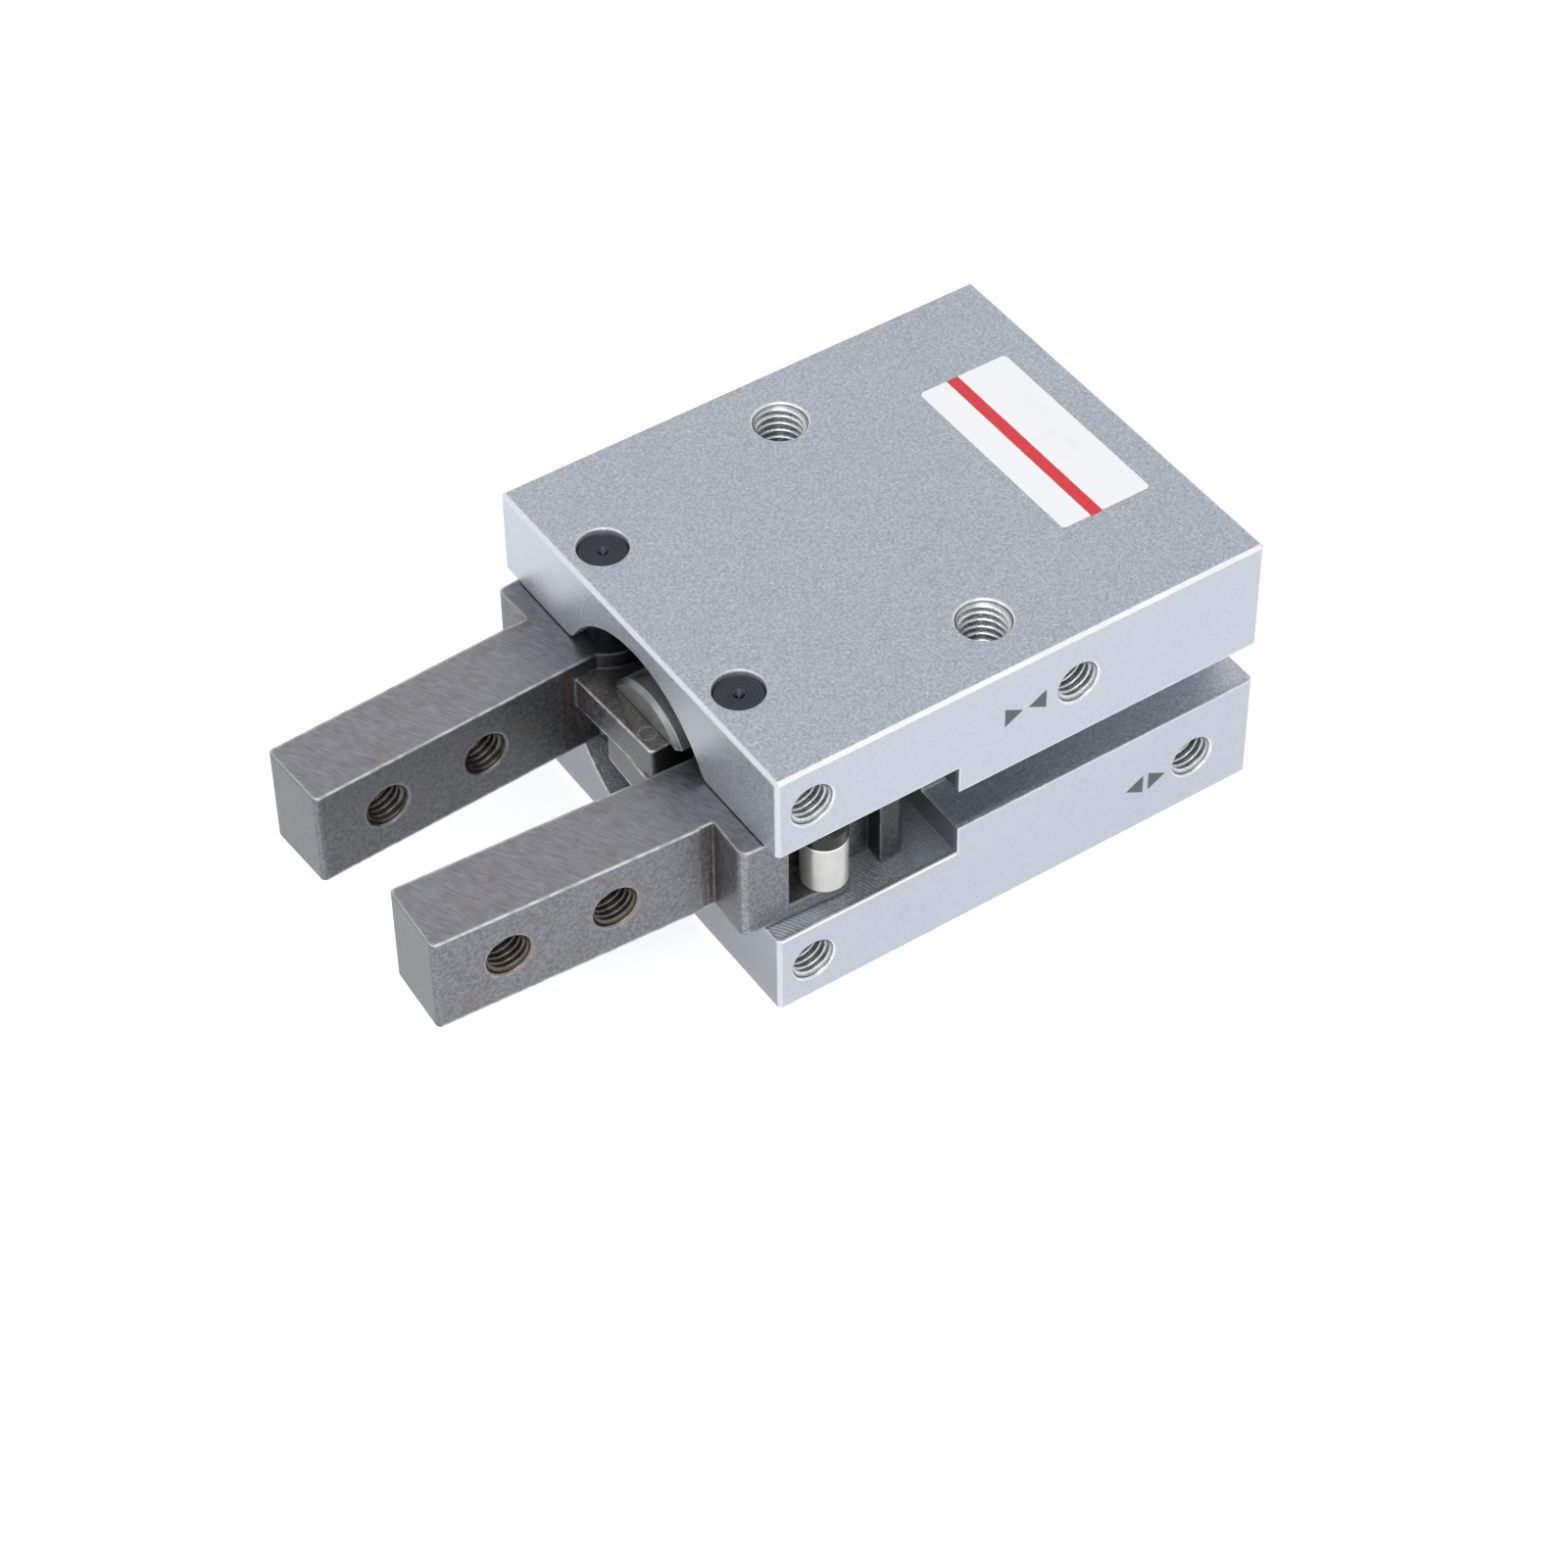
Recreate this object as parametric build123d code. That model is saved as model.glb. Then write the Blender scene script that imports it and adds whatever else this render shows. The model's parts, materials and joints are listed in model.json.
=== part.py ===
from build123d import *
import math
import os

os.makedirs("parts", exist_ok=True)

# Angular air gripper. Origin at the centre of the body's bottom face, X towards the
# finger tips, Y towards the side with the air ports, Z up. All sizes in millimetres.

# Body block
body_length = 61.0
body_width = 52.0
body_height = 33.6
body_chamfer = 0.4
bore_radius = 12.5
mouth_radius = 14.0
mouth_rounding = 1.6
switch_groove_height = 5.5
switch_groove_depth = 6.5

# Finger pivots
pivot_from_front = 4.4
pivot_spacing = 25.5
fulcrum_pin_radius = 2.8
fulcrum_pin_recess = 0.6
pin_chamfer = 0.25
fulcrum_dimple_radius = 0.7
fulcrum_mouth_radius = 2.95

# Finger angles, counted from parallel, opening positive
closed_angle = -10.0
open_angle = 30.0
rest_angle = -3.0

# Finger bar and flange, measured from the pivot: forward, and outboard from the middle
finger_thickness = 12.0
finger_reach = 38.6
bar_width = 9.0
bar_outboard_shift = 1.15
bar_tip_radius = 0.6
root_relief_length = 1.6
root_relief_depth = 0.15
flange_front = 6.5
flange_thickness = 5.5
flange_reach = 11.05
flange_radius = 1.0
hub_radius = 5.0
grip_hole_from_tip = 8.4
grip_hole_spacing = 12.2

# Magnet pocket and tail of the finger
magnet_radius = 2.55
magnet_chamfer = 0.4
magnet_behind_pivot = 4.1
magnet_proud = 1.0
pocket_height = 8.6
lip_length = 8.0
lip_radius = 1.8
tail_length = 3.0
tail_rear = 14.0
tail_reach_outboard = 9.3
tail_radius = 1.0
tail_clearance = 1.1
web_rod_gap = 0.125
web_tail_gap = 0.08

# Half-lapped arms, clevis and centre pin
arm_overlap = 4.25
arm_corner_radius = 0.6
arm_lap_gap = 0.1
arm_side_gap = 0.1
center_pin_radius = 2.0
center_pin_recess = 0.35
pin_slot_side_gap = 0.16
pin_slot_end_gap = 0.1
rod_radius = 7.45
clevis_slot_height = 8.2
clevis_nose = 6.3
clevis_end_gap = 0.6
clevis_chamfer = 0.5

# Piston and its seal
piston_front_spigot = 1.3
piston_disc_length = 5.0
piston_rear_spigot = 1.2
piston_spigot_radius = 10.2
piston_chamfer = 0.3
piston_seal_width = 2.6
piston_seal_depth = 2.6
piston_pilot_radius = 4.0
piston_pilot_depth = 1.0
stop_gap = 0.1
bumper_proud = 1.0
bumper_seat_depth = 0.5
bumper_inner_radius = 8.0
bumper_outer_radius = 10.0
seal_lip_depth = 0.9
seal_lip_width = 0.9

# Piston screw
screw_radius = 2.5
screw_head_radius = 4.25
screw_head_height = 3.0
screw_length = 12.0
screw_socket_flats = 4.0
screw_socket_depth = 2.0

# End cap and its ring
cap_recess = 1.0
cap_thickness = 4.2
cap_seat_step = 1.0
cap_dish_depth = 0.8
cap_dish_radius = 9.0
retaining_ring_thickness = 1.1
retaining_ring_seat = 0.8
retaining_ring_width = 1.9
ring_lug_radius = 1.9
ring_lug_hole_radius = 0.8
ring_gap_angle = 34.0
cord_ring_section = 1.8
cord_ring_side_room = 0.25

# Rod cover, bush and rod seal
cover_pilot_length = 6.0
cover_flange_length = 4.0
bush_length = 4.5
bush_wall = 1.0
rod_seal_width = 3.0
rod_seal_depth = 2.5
rod_seal_from_rear = 1.6

# Air ports and threaded holes, at the threads' outer radius
port_radius = 2.5
port_depth = 6.0
port_bite = 2.4
passage_radius = 1.0
passage_edge = 0.5
small_thread_radius = 2.5
small_thread_mouth = 0.2
side_thread_from_front = 4.3
side_thread_from_face = 5.3
side_thread_depth = 8.0
large_thread_radius = 3.0
large_thread_mouth = 0.2
large_thread_spacing = 37.0
large_thread_depth = 11.0
rear_thread_circle = 44.0
rear_thread_angle = 27.5
rear_thread_depth = 8.0
drill_point_angle = 31.0

# Clearances
press_gap = 0.01
running_gap = 0.04
rod_gap = 0.05
rod_room = 0.15
piston_gap = 0.08
seat_gap = 0.03
finger_side_gap = 0.25
cut_over = 0.5
pick_reach = 0.12

# Places worked out from the sizes above
axis_z = body_height / 2
front_x = body_length / 2
rear_x = -body_length / 2
pivot_x = front_x - pivot_from_front
pivot_y = pivot_spacing / 2
finger_slot_height = finger_thickness + 2 * finger_side_gap
tail_reach = math.hypot(tail_rear, tail_reach_outboard)
finger_slot_end_x = pivot_x - tail_reach - tail_clearance
mid_angle = (closed_angle + open_angle) / 2


def pin_travel(angle):
    """Place of the centre pin ahead of the pivots for a finger angle."""
    return pivot_y * math.tan(math.radians(angle - mid_angle))


center_pin_x = pivot_x + pin_travel(rest_angle)
stroke_forward = pin_travel(open_angle) - pin_travel(rest_angle)
stroke_back = pin_travel(rest_angle) - pin_travel(closed_angle)
swing = math.radians((open_angle - closed_angle) / 2)

pin_slot_inner = pivot_y
pin_slot_outer = pivot_y / math.cos(swing)
arm_end = pivot_y + arm_overlap
rake = math.radians(mid_angle)
eye_radius = arm_end - pin_slot_outer * math.cos(rake)
clevis_front_x = center_pin_x + clevis_nose
clevis_slot_x = center_pin_x - (
    rod_radius * math.tan(swing) + eye_radius / math.cos(swing) + clevis_end_gap)

cap_ring_x = rear_x + cap_recess
cap_rear_x = cap_ring_x + retaining_ring_thickness
cap_front_x = cap_rear_x + cap_thickness
piston_rear_x = cap_front_x + bumper_proud + stop_gap + stroke_back
disc_rear_x = piston_rear_x + piston_rear_spigot
disc_front_x = disc_rear_x + piston_disc_length
piston_front_x = disc_front_x + piston_front_spigot
cover_rear_x = piston_front_x + stroke_forward + stop_gap + bumper_proud
cover_seat_x = cover_rear_x + cover_pilot_length
cover_front_x = cover_seat_x + cover_flange_length
cap_radius = bore_radius + cap_seat_step
shut_port_x = cover_rear_x - passage_radius - passage_edge
open_port_x = cap_front_x + passage_radius + passage_edge
port_rise = bore_radius - port_bite
cradle_wall = flange_reach + magnet_proud - 2 * magnet_radius
magnet_outboard = flange_reach + magnet_proud - magnet_radius
seal_groove_radius = bore_radius - piston_seal_depth


def rod_x(radius, x_from, x_to):
    """Cylinder on the piston axis."""
    return Pos((x_from + x_to) / 2, 0, axis_z) * Rot(0, 90, 0) * Cylinder(radius, x_to - x_from)


def turned(outline):
    """Turn a half section, given as (x, radius) points, about the piston axis."""
    section = make_face(Polyline(*outline, close=True))
    return Pos(0, 0, axis_z) * revolve(section, Axis.X)


def blind_hole(radius, depth, mouth, position, outward):
    """Drilled hole with a countersunk mouth and a drill point, to be cut away."""
    tip = depth + radius * math.tan(math.radians(drill_point_angle))
    section = make_face(Polyline(
        (0, cut_over), (radius + mouth + cut_over, cut_over), (radius, -mouth),
        (radius, -depth), (0, -tip), close=True))
    return Plane(origin=position, z_dir=outward) * revolve(Plane.XZ * section, Axis.Z)


def cord_ring(middle_x, outer_radius):
    """Sealing ring with a hexagonal section that fills its groove up to the wall outside it."""
    half = cord_ring_section / 2 - seat_gap
    section = RegularPolygon(half, 6, major_radius=False)
    section = Pos(middle_x, outer_radius - cord_ring_section / 2) * section
    return Pos(0, 0, axis_z) * revolve(section, Axis.X)


def cord_groove(middle_x, outer_radius):
    """Groove for a cord ring in a round part, to be cut away."""
    half = cord_ring_section / 2 + cord_ring_side_room
    floor = outer_radius - cord_ring_section
    over = outer_radius + cut_over
    return turned([(middle_x - half, floor), (middle_x + half, floor),
                   (middle_x + half, over), (middle_x - half, over)])


def retaining_ring(x_from, wall_radius):
    """Sprung ring with two eyed lugs, seated in a groove in a bore."""
    outer = wall_radius + retaining_ring_seat - running_gap
    inner = outer - retaining_ring_width
    lug_place = inner - ring_lug_radius / 2
    half_gap = math.radians(ring_gap_angle / 2)
    reach = 2 * outer
    gap = make_face(Polyline(
        (0, 0), (reach * math.cos(half_gap), reach * math.sin(half_gap)),
        (reach * math.cos(half_gap), -reach * math.sin(half_gap)), close=True))
    plan = Circle(outer) - Circle(inner) - gap
    wall = Circle(wall_radius - running_gap)
    for side in (-1, 1):
        turn = side * (half_gap + ring_lug_radius / outer)
        place = Pos(lug_place * math.cos(turn), lug_place * math.sin(turn))
        plan += (place * Circle(ring_lug_radius)) & wall
        plan -= place * Circle(ring_lug_hole_radius)
    ring = extrude(plan, amount=retaining_ring_thickness)
    return Pos(x_from, 0, axis_z) * Rot(0, 90, 0) * ring


def ring_seat(x_from, wall_radius):
    """Groove in a bore for a retaining ring, to be cut away."""
    return rod_x(wall_radius + retaining_ring_seat, x_from, x_from + retaining_ring_thickness)


def finger_slot():
    """Slot across the body for both fingers, to be cut away."""
    length = front_x - finger_slot_end_x + cut_over
    slot = Box(length, body_width + 2 * cut_over, finger_slot_height)
    return Pos(finger_slot_end_x + length / 2, 0, axis_z) * slot


def switch_grooves():
    """Groove along each side for a position switch, to be cut away."""
    length = finger_slot_end_x - rear_x + 2 * cut_over
    depth = switch_groove_depth + cut_over
    groove = Box(length, depth, switch_groove_height)
    middle_x = rear_x - cut_over + length / 2
    middle_y = body_width / 2 - switch_groove_depth + depth / 2
    return [Pos(middle_x, side * middle_y, axis_z) * groove for side in (-1, 1)]


def cylinder_bore():
    """Stepped bore for the cap, the piston and the rod cover, to be cut away."""
    return [
        rod_x(cap_radius, rear_x - cut_over, cap_front_x),
        rod_x(bore_radius, cap_front_x - cut_over, cover_seat_x),
        rod_x(mouth_radius, cover_seat_x, front_x + cut_over),
    ]


def round_mouth(block):
    """Round the edges between the mouth of the bore and the finger slot."""
    half_mouth = math.sqrt(mouth_radius ** 2 - (finger_slot_height / 2) ** 2)
    ridges = [edge for edge in block.edges().filter_by(Axis.X)
              if abs(abs(edge.center().Y) - half_mouth) < pick_reach
              and abs(abs(edge.center().Z - axis_z) - finger_slot_height / 2) < pick_reach
              and edge.center().X > finger_slot_end_x]
    return fillet(ridges, mouth_rounding)


def fulcrum_holes():
    """Through holes for the fulcrum pins, countersunk at both faces, to be cut away."""
    mouth = fulcrum_mouth_radius - fulcrum_pin_radius
    radius = fulcrum_pin_radius + press_gap
    holes = []
    for side in (-1, 1):
        for z, outward in ((body_height, (0, 0, 1)), (0, (0, 0, -1))):
            holes.append(blind_hole(radius, body_height / 2, mouth, (pivot_x, side * pivot_y, z), outward))
    return holes


def air_ports():
    """Threaded port with its passage into each end of the bore, to be cut away."""
    cuts = []
    for x, rise in ((shut_port_x, port_rise), (open_port_x, -port_rise)):
        mouth = (x, body_width / 2, axis_z + rise)
        cuts.append(blind_hole(port_radius, port_depth, small_thread_mouth, mouth, (0, 1, 0)))
        cuts.append(Pos(x, body_width / 4, axis_z + rise) * Rot(90, 0, 0)
                    * Cylinder(passage_radius, body_width / 2 - port_depth))
    return cuts


def mounting_threads():
    """Threaded mounting holes in the top, both sides and the rear, to be cut away."""
    cuts = []
    for side in (-1, 1):
        cuts.append(blind_hole(large_thread_radius, large_thread_depth, large_thread_mouth,
                               (0, side * large_thread_spacing / 2, body_height), (0, 0, 1)))
        for rise in (side_thread_from_face, body_height - side_thread_from_face):
            cuts.append(blind_hole(
                small_thread_radius, side_thread_depth, small_thread_mouth,
                (front_x - side_thread_from_front, side * body_width / 2, rise), (0, side, 0)))
        angle = math.radians(rear_thread_angle)
        y = side * rear_thread_circle / 2 * math.cos(angle)
        z = axis_z + side * rear_thread_circle / 2 * math.sin(angle)
        cuts.append(blind_hole(small_thread_radius, rear_thread_depth, small_thread_mouth,
                               (rear_x, y, z), (-1, 0, 0)))
    return cuts


def make_body():
    """Aluminium block with the finger slot, grooves, bore, ports and threads."""
    block = Pos(0, 0, axis_z) * Box(body_length, body_width, body_height)
    block = chamfer(block.edges(), body_chamfer)
    block -= finger_slot()
    block -= switch_grooves()
    block -= cylinder_bore()
    block = round_mouth(block)
    block -= [ring_seat(cap_ring_x, cap_radius), ring_seat(cover_front_x, mouth_radius)]
    block -= fulcrum_holes()
    block -= air_ports()
    block -= mounting_threads()
    return block


def make_end_cap():
    """Rear cap: a grooved disc, dished behind, with a seat for its bumper."""
    radius = cap_radius - rod_gap
    dish = cap_dish_depth
    cap = turned([
        (cap_rear_x + dish, 0), (cap_rear_x + dish, cap_dish_radius - dish),
        (cap_rear_x, cap_dish_radius), (cap_rear_x, radius), (cap_front_x, radius), (cap_front_x, 0)])
    cap -= cord_groove((cap_rear_x + cap_front_x) / 2, cap_radius)
    cap -= bumper_ring(cap_front_x - bumper_seat_depth, cap_front_x + cut_over, press_gap)
    return cap


def bumper_ring(x_from, x_to, room=0.0):
    """Flat ring against which the piston stops, grown by a given room."""
    inner = bumper_inner_radius - room
    outer = bumper_outer_radius + room
    return turned([(x_from, inner), (x_to, inner), (x_to, outer), (x_from, outer)])


def make_rod_cover():
    """Front cover: pilot in the bore, flange in the mouth, bush and rod seal inside."""
    seal_x = cover_rear_x + rod_seal_from_rear
    inner = rod_radius + rod_room
    bush_seat = rod_radius + rod_gap + bush_wall
    bush_rear = cover_front_x - bush_length
    cover = turned([
        (cover_rear_x, inner), (seal_x, inner), (seal_x, rod_radius + rod_seal_depth),
        (seal_x + rod_seal_width, rod_radius + rod_seal_depth), (seal_x + rod_seal_width, inner),
        (bush_rear, inner), (bush_rear, bush_seat), (cover_front_x, bush_seat),
        (cover_front_x, mouth_radius - rod_gap), (cover_seat_x, mouth_radius - rod_gap),
        (cover_seat_x, bore_radius - rod_gap), (cover_rear_x, bore_radius - rod_gap)])
    cover -= cord_groove((cover_seat_x + cover_front_x) / 2, mouth_radius)
    cover -= bumper_ring(cover_rear_x - cut_over, cover_rear_x + bumper_seat_depth, press_gap)
    return cover


def make_rod_bush():
    """Plain bearing bush that guides the rod in the cover."""
    inner = rod_radius + rod_gap
    outer = inner + bush_wall - press_gap
    return turned([(cover_front_x - bush_length, inner), (cover_front_x, inner),
                   (cover_front_x, outer), (cover_front_x - bush_length, outer)])


def make_rod_seal():
    """Lip seal round the rod, its two lips towards the pressure."""
    x_from = cover_rear_x + rod_seal_from_rear + seat_gap
    x_to = x_from + rod_seal_width - 2 * seat_gap
    inner = rod_radius + rod_gap
    outer = rod_radius + rod_seal_depth - seat_gap
    middle = (inner + outer) / 2
    return turned([
        (x_from, inner), (x_to, inner), (x_to, outer), (x_from, outer),
        (x_from, middle + seal_lip_width / 2), (x_from + seal_lip_depth, middle),
        (x_from, middle - seal_lip_width / 2)])


def make_piston_rod():
    """Rod with a clevis cut in its front end and a thread in its rear end."""
    rod = rod_x(rod_radius, piston_front_x, clevis_front_x)
    rod = chamfer(rod.edges().sort_by(Axis.X)[-1:], clevis_chamfer)
    pilot = rod_x(piston_pilot_radius, piston_front_x - piston_pilot_depth, piston_front_x + cut_over)
    slot_length = clevis_front_x - clevis_slot_x + cut_over
    slot = Pos(clevis_slot_x + slot_length / 2, 0, axis_z) * Box(
        slot_length, 4 * rod_radius, clevis_slot_height)
    pin_hole = Pos(center_pin_x, 0, axis_z) * Cylinder(center_pin_radius + press_gap, 4 * rod_radius)
    thread_end = piston_rear_x + screw_head_height + screw_length
    thread = rod_x(screw_radius + press_gap, piston_rear_x, thread_end)
    return rod + pilot - slot - pin_hole - thread


def make_center_pin():
    """Pin across the clevis that drives both finger arms."""
    length = 2 * (rod_radius - center_pin_recess)
    pin = Pos(center_pin_x, 0, axis_z) * Cylinder(center_pin_radius, length)
    return chamfer(pin.edges().filter_by(GeomType.CIRCLE), pin_chamfer)


def make_piston():
    """Piston disc with a seal groove and a spigot at each side."""
    radius = bore_radius - piston_gap
    edge = piston_chamfer
    seal_x = (disc_rear_x + disc_front_x) / 2
    half = piston_seal_width / 2
    head = screw_head_radius + running_gap
    pilot = piston_pilot_radius + press_gap
    shank = screw_radius + rod_gap
    return turned([
        (piston_rear_x, head), (piston_rear_x + screw_head_height, head),
        (piston_rear_x + screw_head_height, shank), (piston_front_x - piston_pilot_depth, shank),
        (piston_front_x - piston_pilot_depth, pilot), (piston_front_x, pilot),
        (piston_front_x, piston_spigot_radius), (disc_front_x, piston_spigot_radius),
        (disc_front_x, radius - edge), (disc_front_x - edge, radius), (seal_x + half, radius),
        (seal_x + half, seal_groove_radius), (seal_x - half, seal_groove_radius),
        (seal_x - half, radius), (disc_rear_x + edge, radius), (disc_rear_x, radius - edge),
        (disc_rear_x, piston_spigot_radius), (piston_rear_x, piston_spigot_radius)])


def make_piston_seal():
    """Double-acting seal: a ring with a shallow hollow between two outer lips."""
    middle_x = (disc_rear_x + disc_front_x) / 2
    half = piston_seal_width / 2 - seat_gap
    outer = bore_radius - rod_gap
    inner = seal_groove_radius + seat_gap
    lip = seal_lip_width / 2
    return turned([
        (middle_x - half, inner), (middle_x + half, inner), (middle_x + half, outer - lip),
        (middle_x + half - lip, outer), (middle_x, outer - lip), (middle_x - half + lip, outer),
        (middle_x - half, outer - lip)])


def make_piston_screw():
    """Socket screw that clamps the piston on the rod."""
    under_head = piston_rear_x + screw_head_height - seat_gap
    head = rod_x(screw_head_radius, piston_rear_x, under_head)
    shank = rod_x(screw_radius, under_head, under_head + screw_length)
    socket_radius = screw_socket_flats / math.sqrt(3)
    socket = extrude(RegularPolygon(socket_radius, 6), amount=screw_socket_depth)
    socket = Pos(piston_rear_x, 0, axis_z) * Rot(0, 90, 0) * socket
    return head + shank - socket


def make_fulcrum_pin(side):
    """Fulcrum pin through both plates and one finger, dimpled at its ends."""
    length = body_height - 2 * fulcrum_pin_recess
    pin = Cylinder(fulcrum_pin_radius, length)
    pin = chamfer(pin.edges().filter_by(GeomType.CIRCLE), pin_chamfer)
    for end in (-1, 1):
        dimple = Cone(fulcrum_dimple_radius, 0, fulcrum_dimple_radius,
                      align=(Align.CENTER, Align.CENTER, Align.MIN))
        flip = Rot(180, 0, 0) if end > 0 else Rot(0, 0, 0)
        pin -= Pos(0, 0, end * length / 2) * flip * dimple
    return Pos(pivot_x, side * pivot_y, axis_z) * pin


def finger_base():
    """Plan of the full-thickness finger: bar, flange, hub, web and tail."""
    bar_outer = bar_width / 2 + bar_outboard_shift
    bar_inner = bar_outer - bar_width
    pocket_front = flange_front - flange_thickness
    web_inner = (pivot_y - rod_radius - web_rod_gap) / math.cos(math.radians(open_angle))
    tail_inner = tail_rear * math.tan(math.radians(open_angle)) - web_inner + web_tail_gap
    bar = make_face(Polyline(
        (0, bar_inner), (finger_reach, bar_inner), (finger_reach, bar_outer), (0, bar_outer), close=True))
    tips = bar.vertices().sort_by(Axis.X)[-2:]
    bar = fillet(tips, bar_tip_radius)
    flange = make_face(Polyline(
        (0, 0), (flange_front, 0), (flange_front, flange_reach), (pocket_front, flange_reach),
        (-lip_length + pocket_front, flange_reach), (-lip_length + pocket_front, 0), close=True))
    flange = fillet(flange.vertices().group_by(Axis.Y)[-1].sort_by(Axis.X)[-1:], flange_radius)
    flange = fillet(flange.vertices().group_by(Axis.Y)[-1].sort_by(Axis.X)[:1], lip_radius)
    web = make_face(Polyline(
        (0, -hub_radius * math.cos(swing)), (-tail_rear, tail_inner), (-tail_rear, cradle_wall),
        (0, cradle_wall), close=True))
    tail = make_face(Polyline(
        (-tail_rear, tail_inner), (-tail_rear, tail_reach_outboard),
        (tail_length - tail_rear, tail_reach_outboard), (tail_length - tail_rear, tail_inner), close=True))
    tail = fillet(tail.vertices().group_by(Axis.Y)[-1].sort_by(Axis.X)[:1], tail_radius)
    hub = Circle(hub_radius)
    return bar + flange + web + tail + hub


def finger_arm():
    """Plan of the driving arm, from the hub across the middle, with its pin slot."""
    slot_end = (-pin_slot_outer * math.sin(rake), -pin_slot_outer * math.cos(rake))
    back = (-eye_radius * math.cos(rake), eye_radius * math.sin(rake))
    plate = make_face(Polyline(
        (0, 0), (flange_front, 0), (flange_front, -arm_end), (slot_end[0], -arm_end),
        (slot_end[0], slot_end[1]), (slot_end[0] + back[0], slot_end[1] + back[1]), back, close=True))
    plate = fillet(plate.vertices().group_by(Axis.Y)[0].sort_by(Axis.X)[-1:], arm_corner_radius)
    plate += Pos(*slot_end) * Circle(eye_radius)
    middle = (pin_slot_inner + pin_slot_outer) / 2
    length = pin_slot_outer - pin_slot_inner + 2 * pin_slot_end_gap
    width = 2 * (center_pin_radius + pin_slot_side_gap)
    slot = Rot(0, 0, -mid_angle) * Pos(0, -middle) * Rot(0, 0, 90) * SlotCenterToCenter(length, width)
    return plate - slot


def make_finger():
    """One finger about its pivot, parallel, outboard along Y, its arm in the lower half."""
    half = finger_thickness / 2
    finger = Pos(0, 0, -half) * extrude(finger_base(), amount=finger_thickness)
    pocket_front = flange_front - flange_thickness
    pocket_length = pocket_front + tail_rear - tail_length
    pocket_width = 2 * flange_reach
    finger -= Pos(pocket_front - pocket_length / 2, cradle_wall + pocket_width / 2, 0) * Box(
        pocket_length, pocket_width, pocket_height)
    arm_low = arm_side_gap - clevis_slot_height / 2
    arm_thickness = -arm_lap_gap / 2 - arm_low
    finger += Pos(0, 0, arm_low) * extrude(finger_arm(), amount=arm_thickness)
    bar_outer = bar_width / 2 + bar_outboard_shift
    finger -= Pos(flange_front + root_relief_length / 2, bar_outer, 0) * Box(
        root_relief_length, 2 * root_relief_depth, finger_thickness)
    finger -= Cylinder(fulcrum_pin_radius + running_gap, 2 * finger_thickness)
    return finger - grip_holes()


def grip_holes():
    """Threaded holes across the bar for the jaws, countersunk at both sides."""
    bar_outer = bar_width / 2 + bar_outboard_shift
    cuts = []
    for index in range(2):
        x = finger_reach - grip_hole_from_tip - index * grip_hole_spacing
        for y, outward in ((bar_outer, 1), (bar_outer - bar_width, -1)):
            cuts.append(blind_hole(small_thread_radius, bar_width / 2, small_thread_mouth,
                                   (x, y, 0), (0, outward, 0)))
    return cuts


def make_magnet():
    """Switch magnet in the finger's pocket."""
    magnet = Cylinder(magnet_radius, pocket_height - 2 * seat_gap)
    magnet = chamfer(magnet.edges().filter_by(GeomType.CIRCLE), magnet_chamfer)
    return Pos(-magnet_behind_pivot, magnet_outboard + seat_gap, 0) * magnet


def place_on_pivot(shape, side):
    """Set a finger-frame shape at rest on its pivot; the second one is the first turned over."""
    turn_over = Rot(0, 0, 0) if side > 0 else Rot(180, 0, 0)
    return Pos(pivot_x, side * pivot_y, axis_z) * turn_over * Rot(0, 0, rest_angle) * shape


def make_parts():
    """All pieces by name."""
    finger = make_finger()
    magnet = make_magnet()
    cap_middle_x = (cap_rear_x + cap_front_x) / 2
    cover_middle_x = (cover_seat_x + cover_front_x) / 2
    return {
        "body": make_body(),
        "end_cap": make_end_cap(),
        "end_cap_o_ring": cord_ring(cap_middle_x, cap_radius),
        "end_cap_retaining_ring": retaining_ring(cap_ring_x, cap_radius),
        "rear_bumper": bumper_ring(cap_front_x - bumper_seat_depth, cap_front_x + bumper_proud),
        "rod_cover": make_rod_cover(),
        "rod_cover_o_ring": cord_ring(cover_middle_x, mouth_radius),
        "rod_cover_retaining_ring": retaining_ring(cover_front_x, mouth_radius),
        "rod_bush": make_rod_bush(),
        "rod_seal": make_rod_seal(),
        "front_bumper": bumper_ring(cover_rear_x - bumper_proud, cover_rear_x + bumper_seat_depth),
        "piston_rod": make_piston_rod(),
        "piston": make_piston(),
        "piston_seal": make_piston_seal(),
        "piston_screw": make_piston_screw(),
        "center_pin": make_center_pin(),
        "left_finger": place_on_pivot(finger, 1),
        "right_finger": place_on_pivot(finger, -1),
        "left_switch_magnet": place_on_pivot(magnet, 1),
        "right_switch_magnet": place_on_pivot(magnet, -1),
        "left_fulcrum_pin": make_fulcrum_pin(1),
        "right_fulcrum_pin": make_fulcrum_pin(-1),
    }


for name, shape in make_parts().items():
    export_step(shape, f"parts/{name}.step")
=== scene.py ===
import json
import logging
import math
from abc import ABC, abstractmethod
from collections.abc import Mapping, Sequence
from dataclasses import dataclass
from enum import Enum
from functools import partial, reduce

import bpy
import numpy as np
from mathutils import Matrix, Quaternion, Vector


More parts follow.
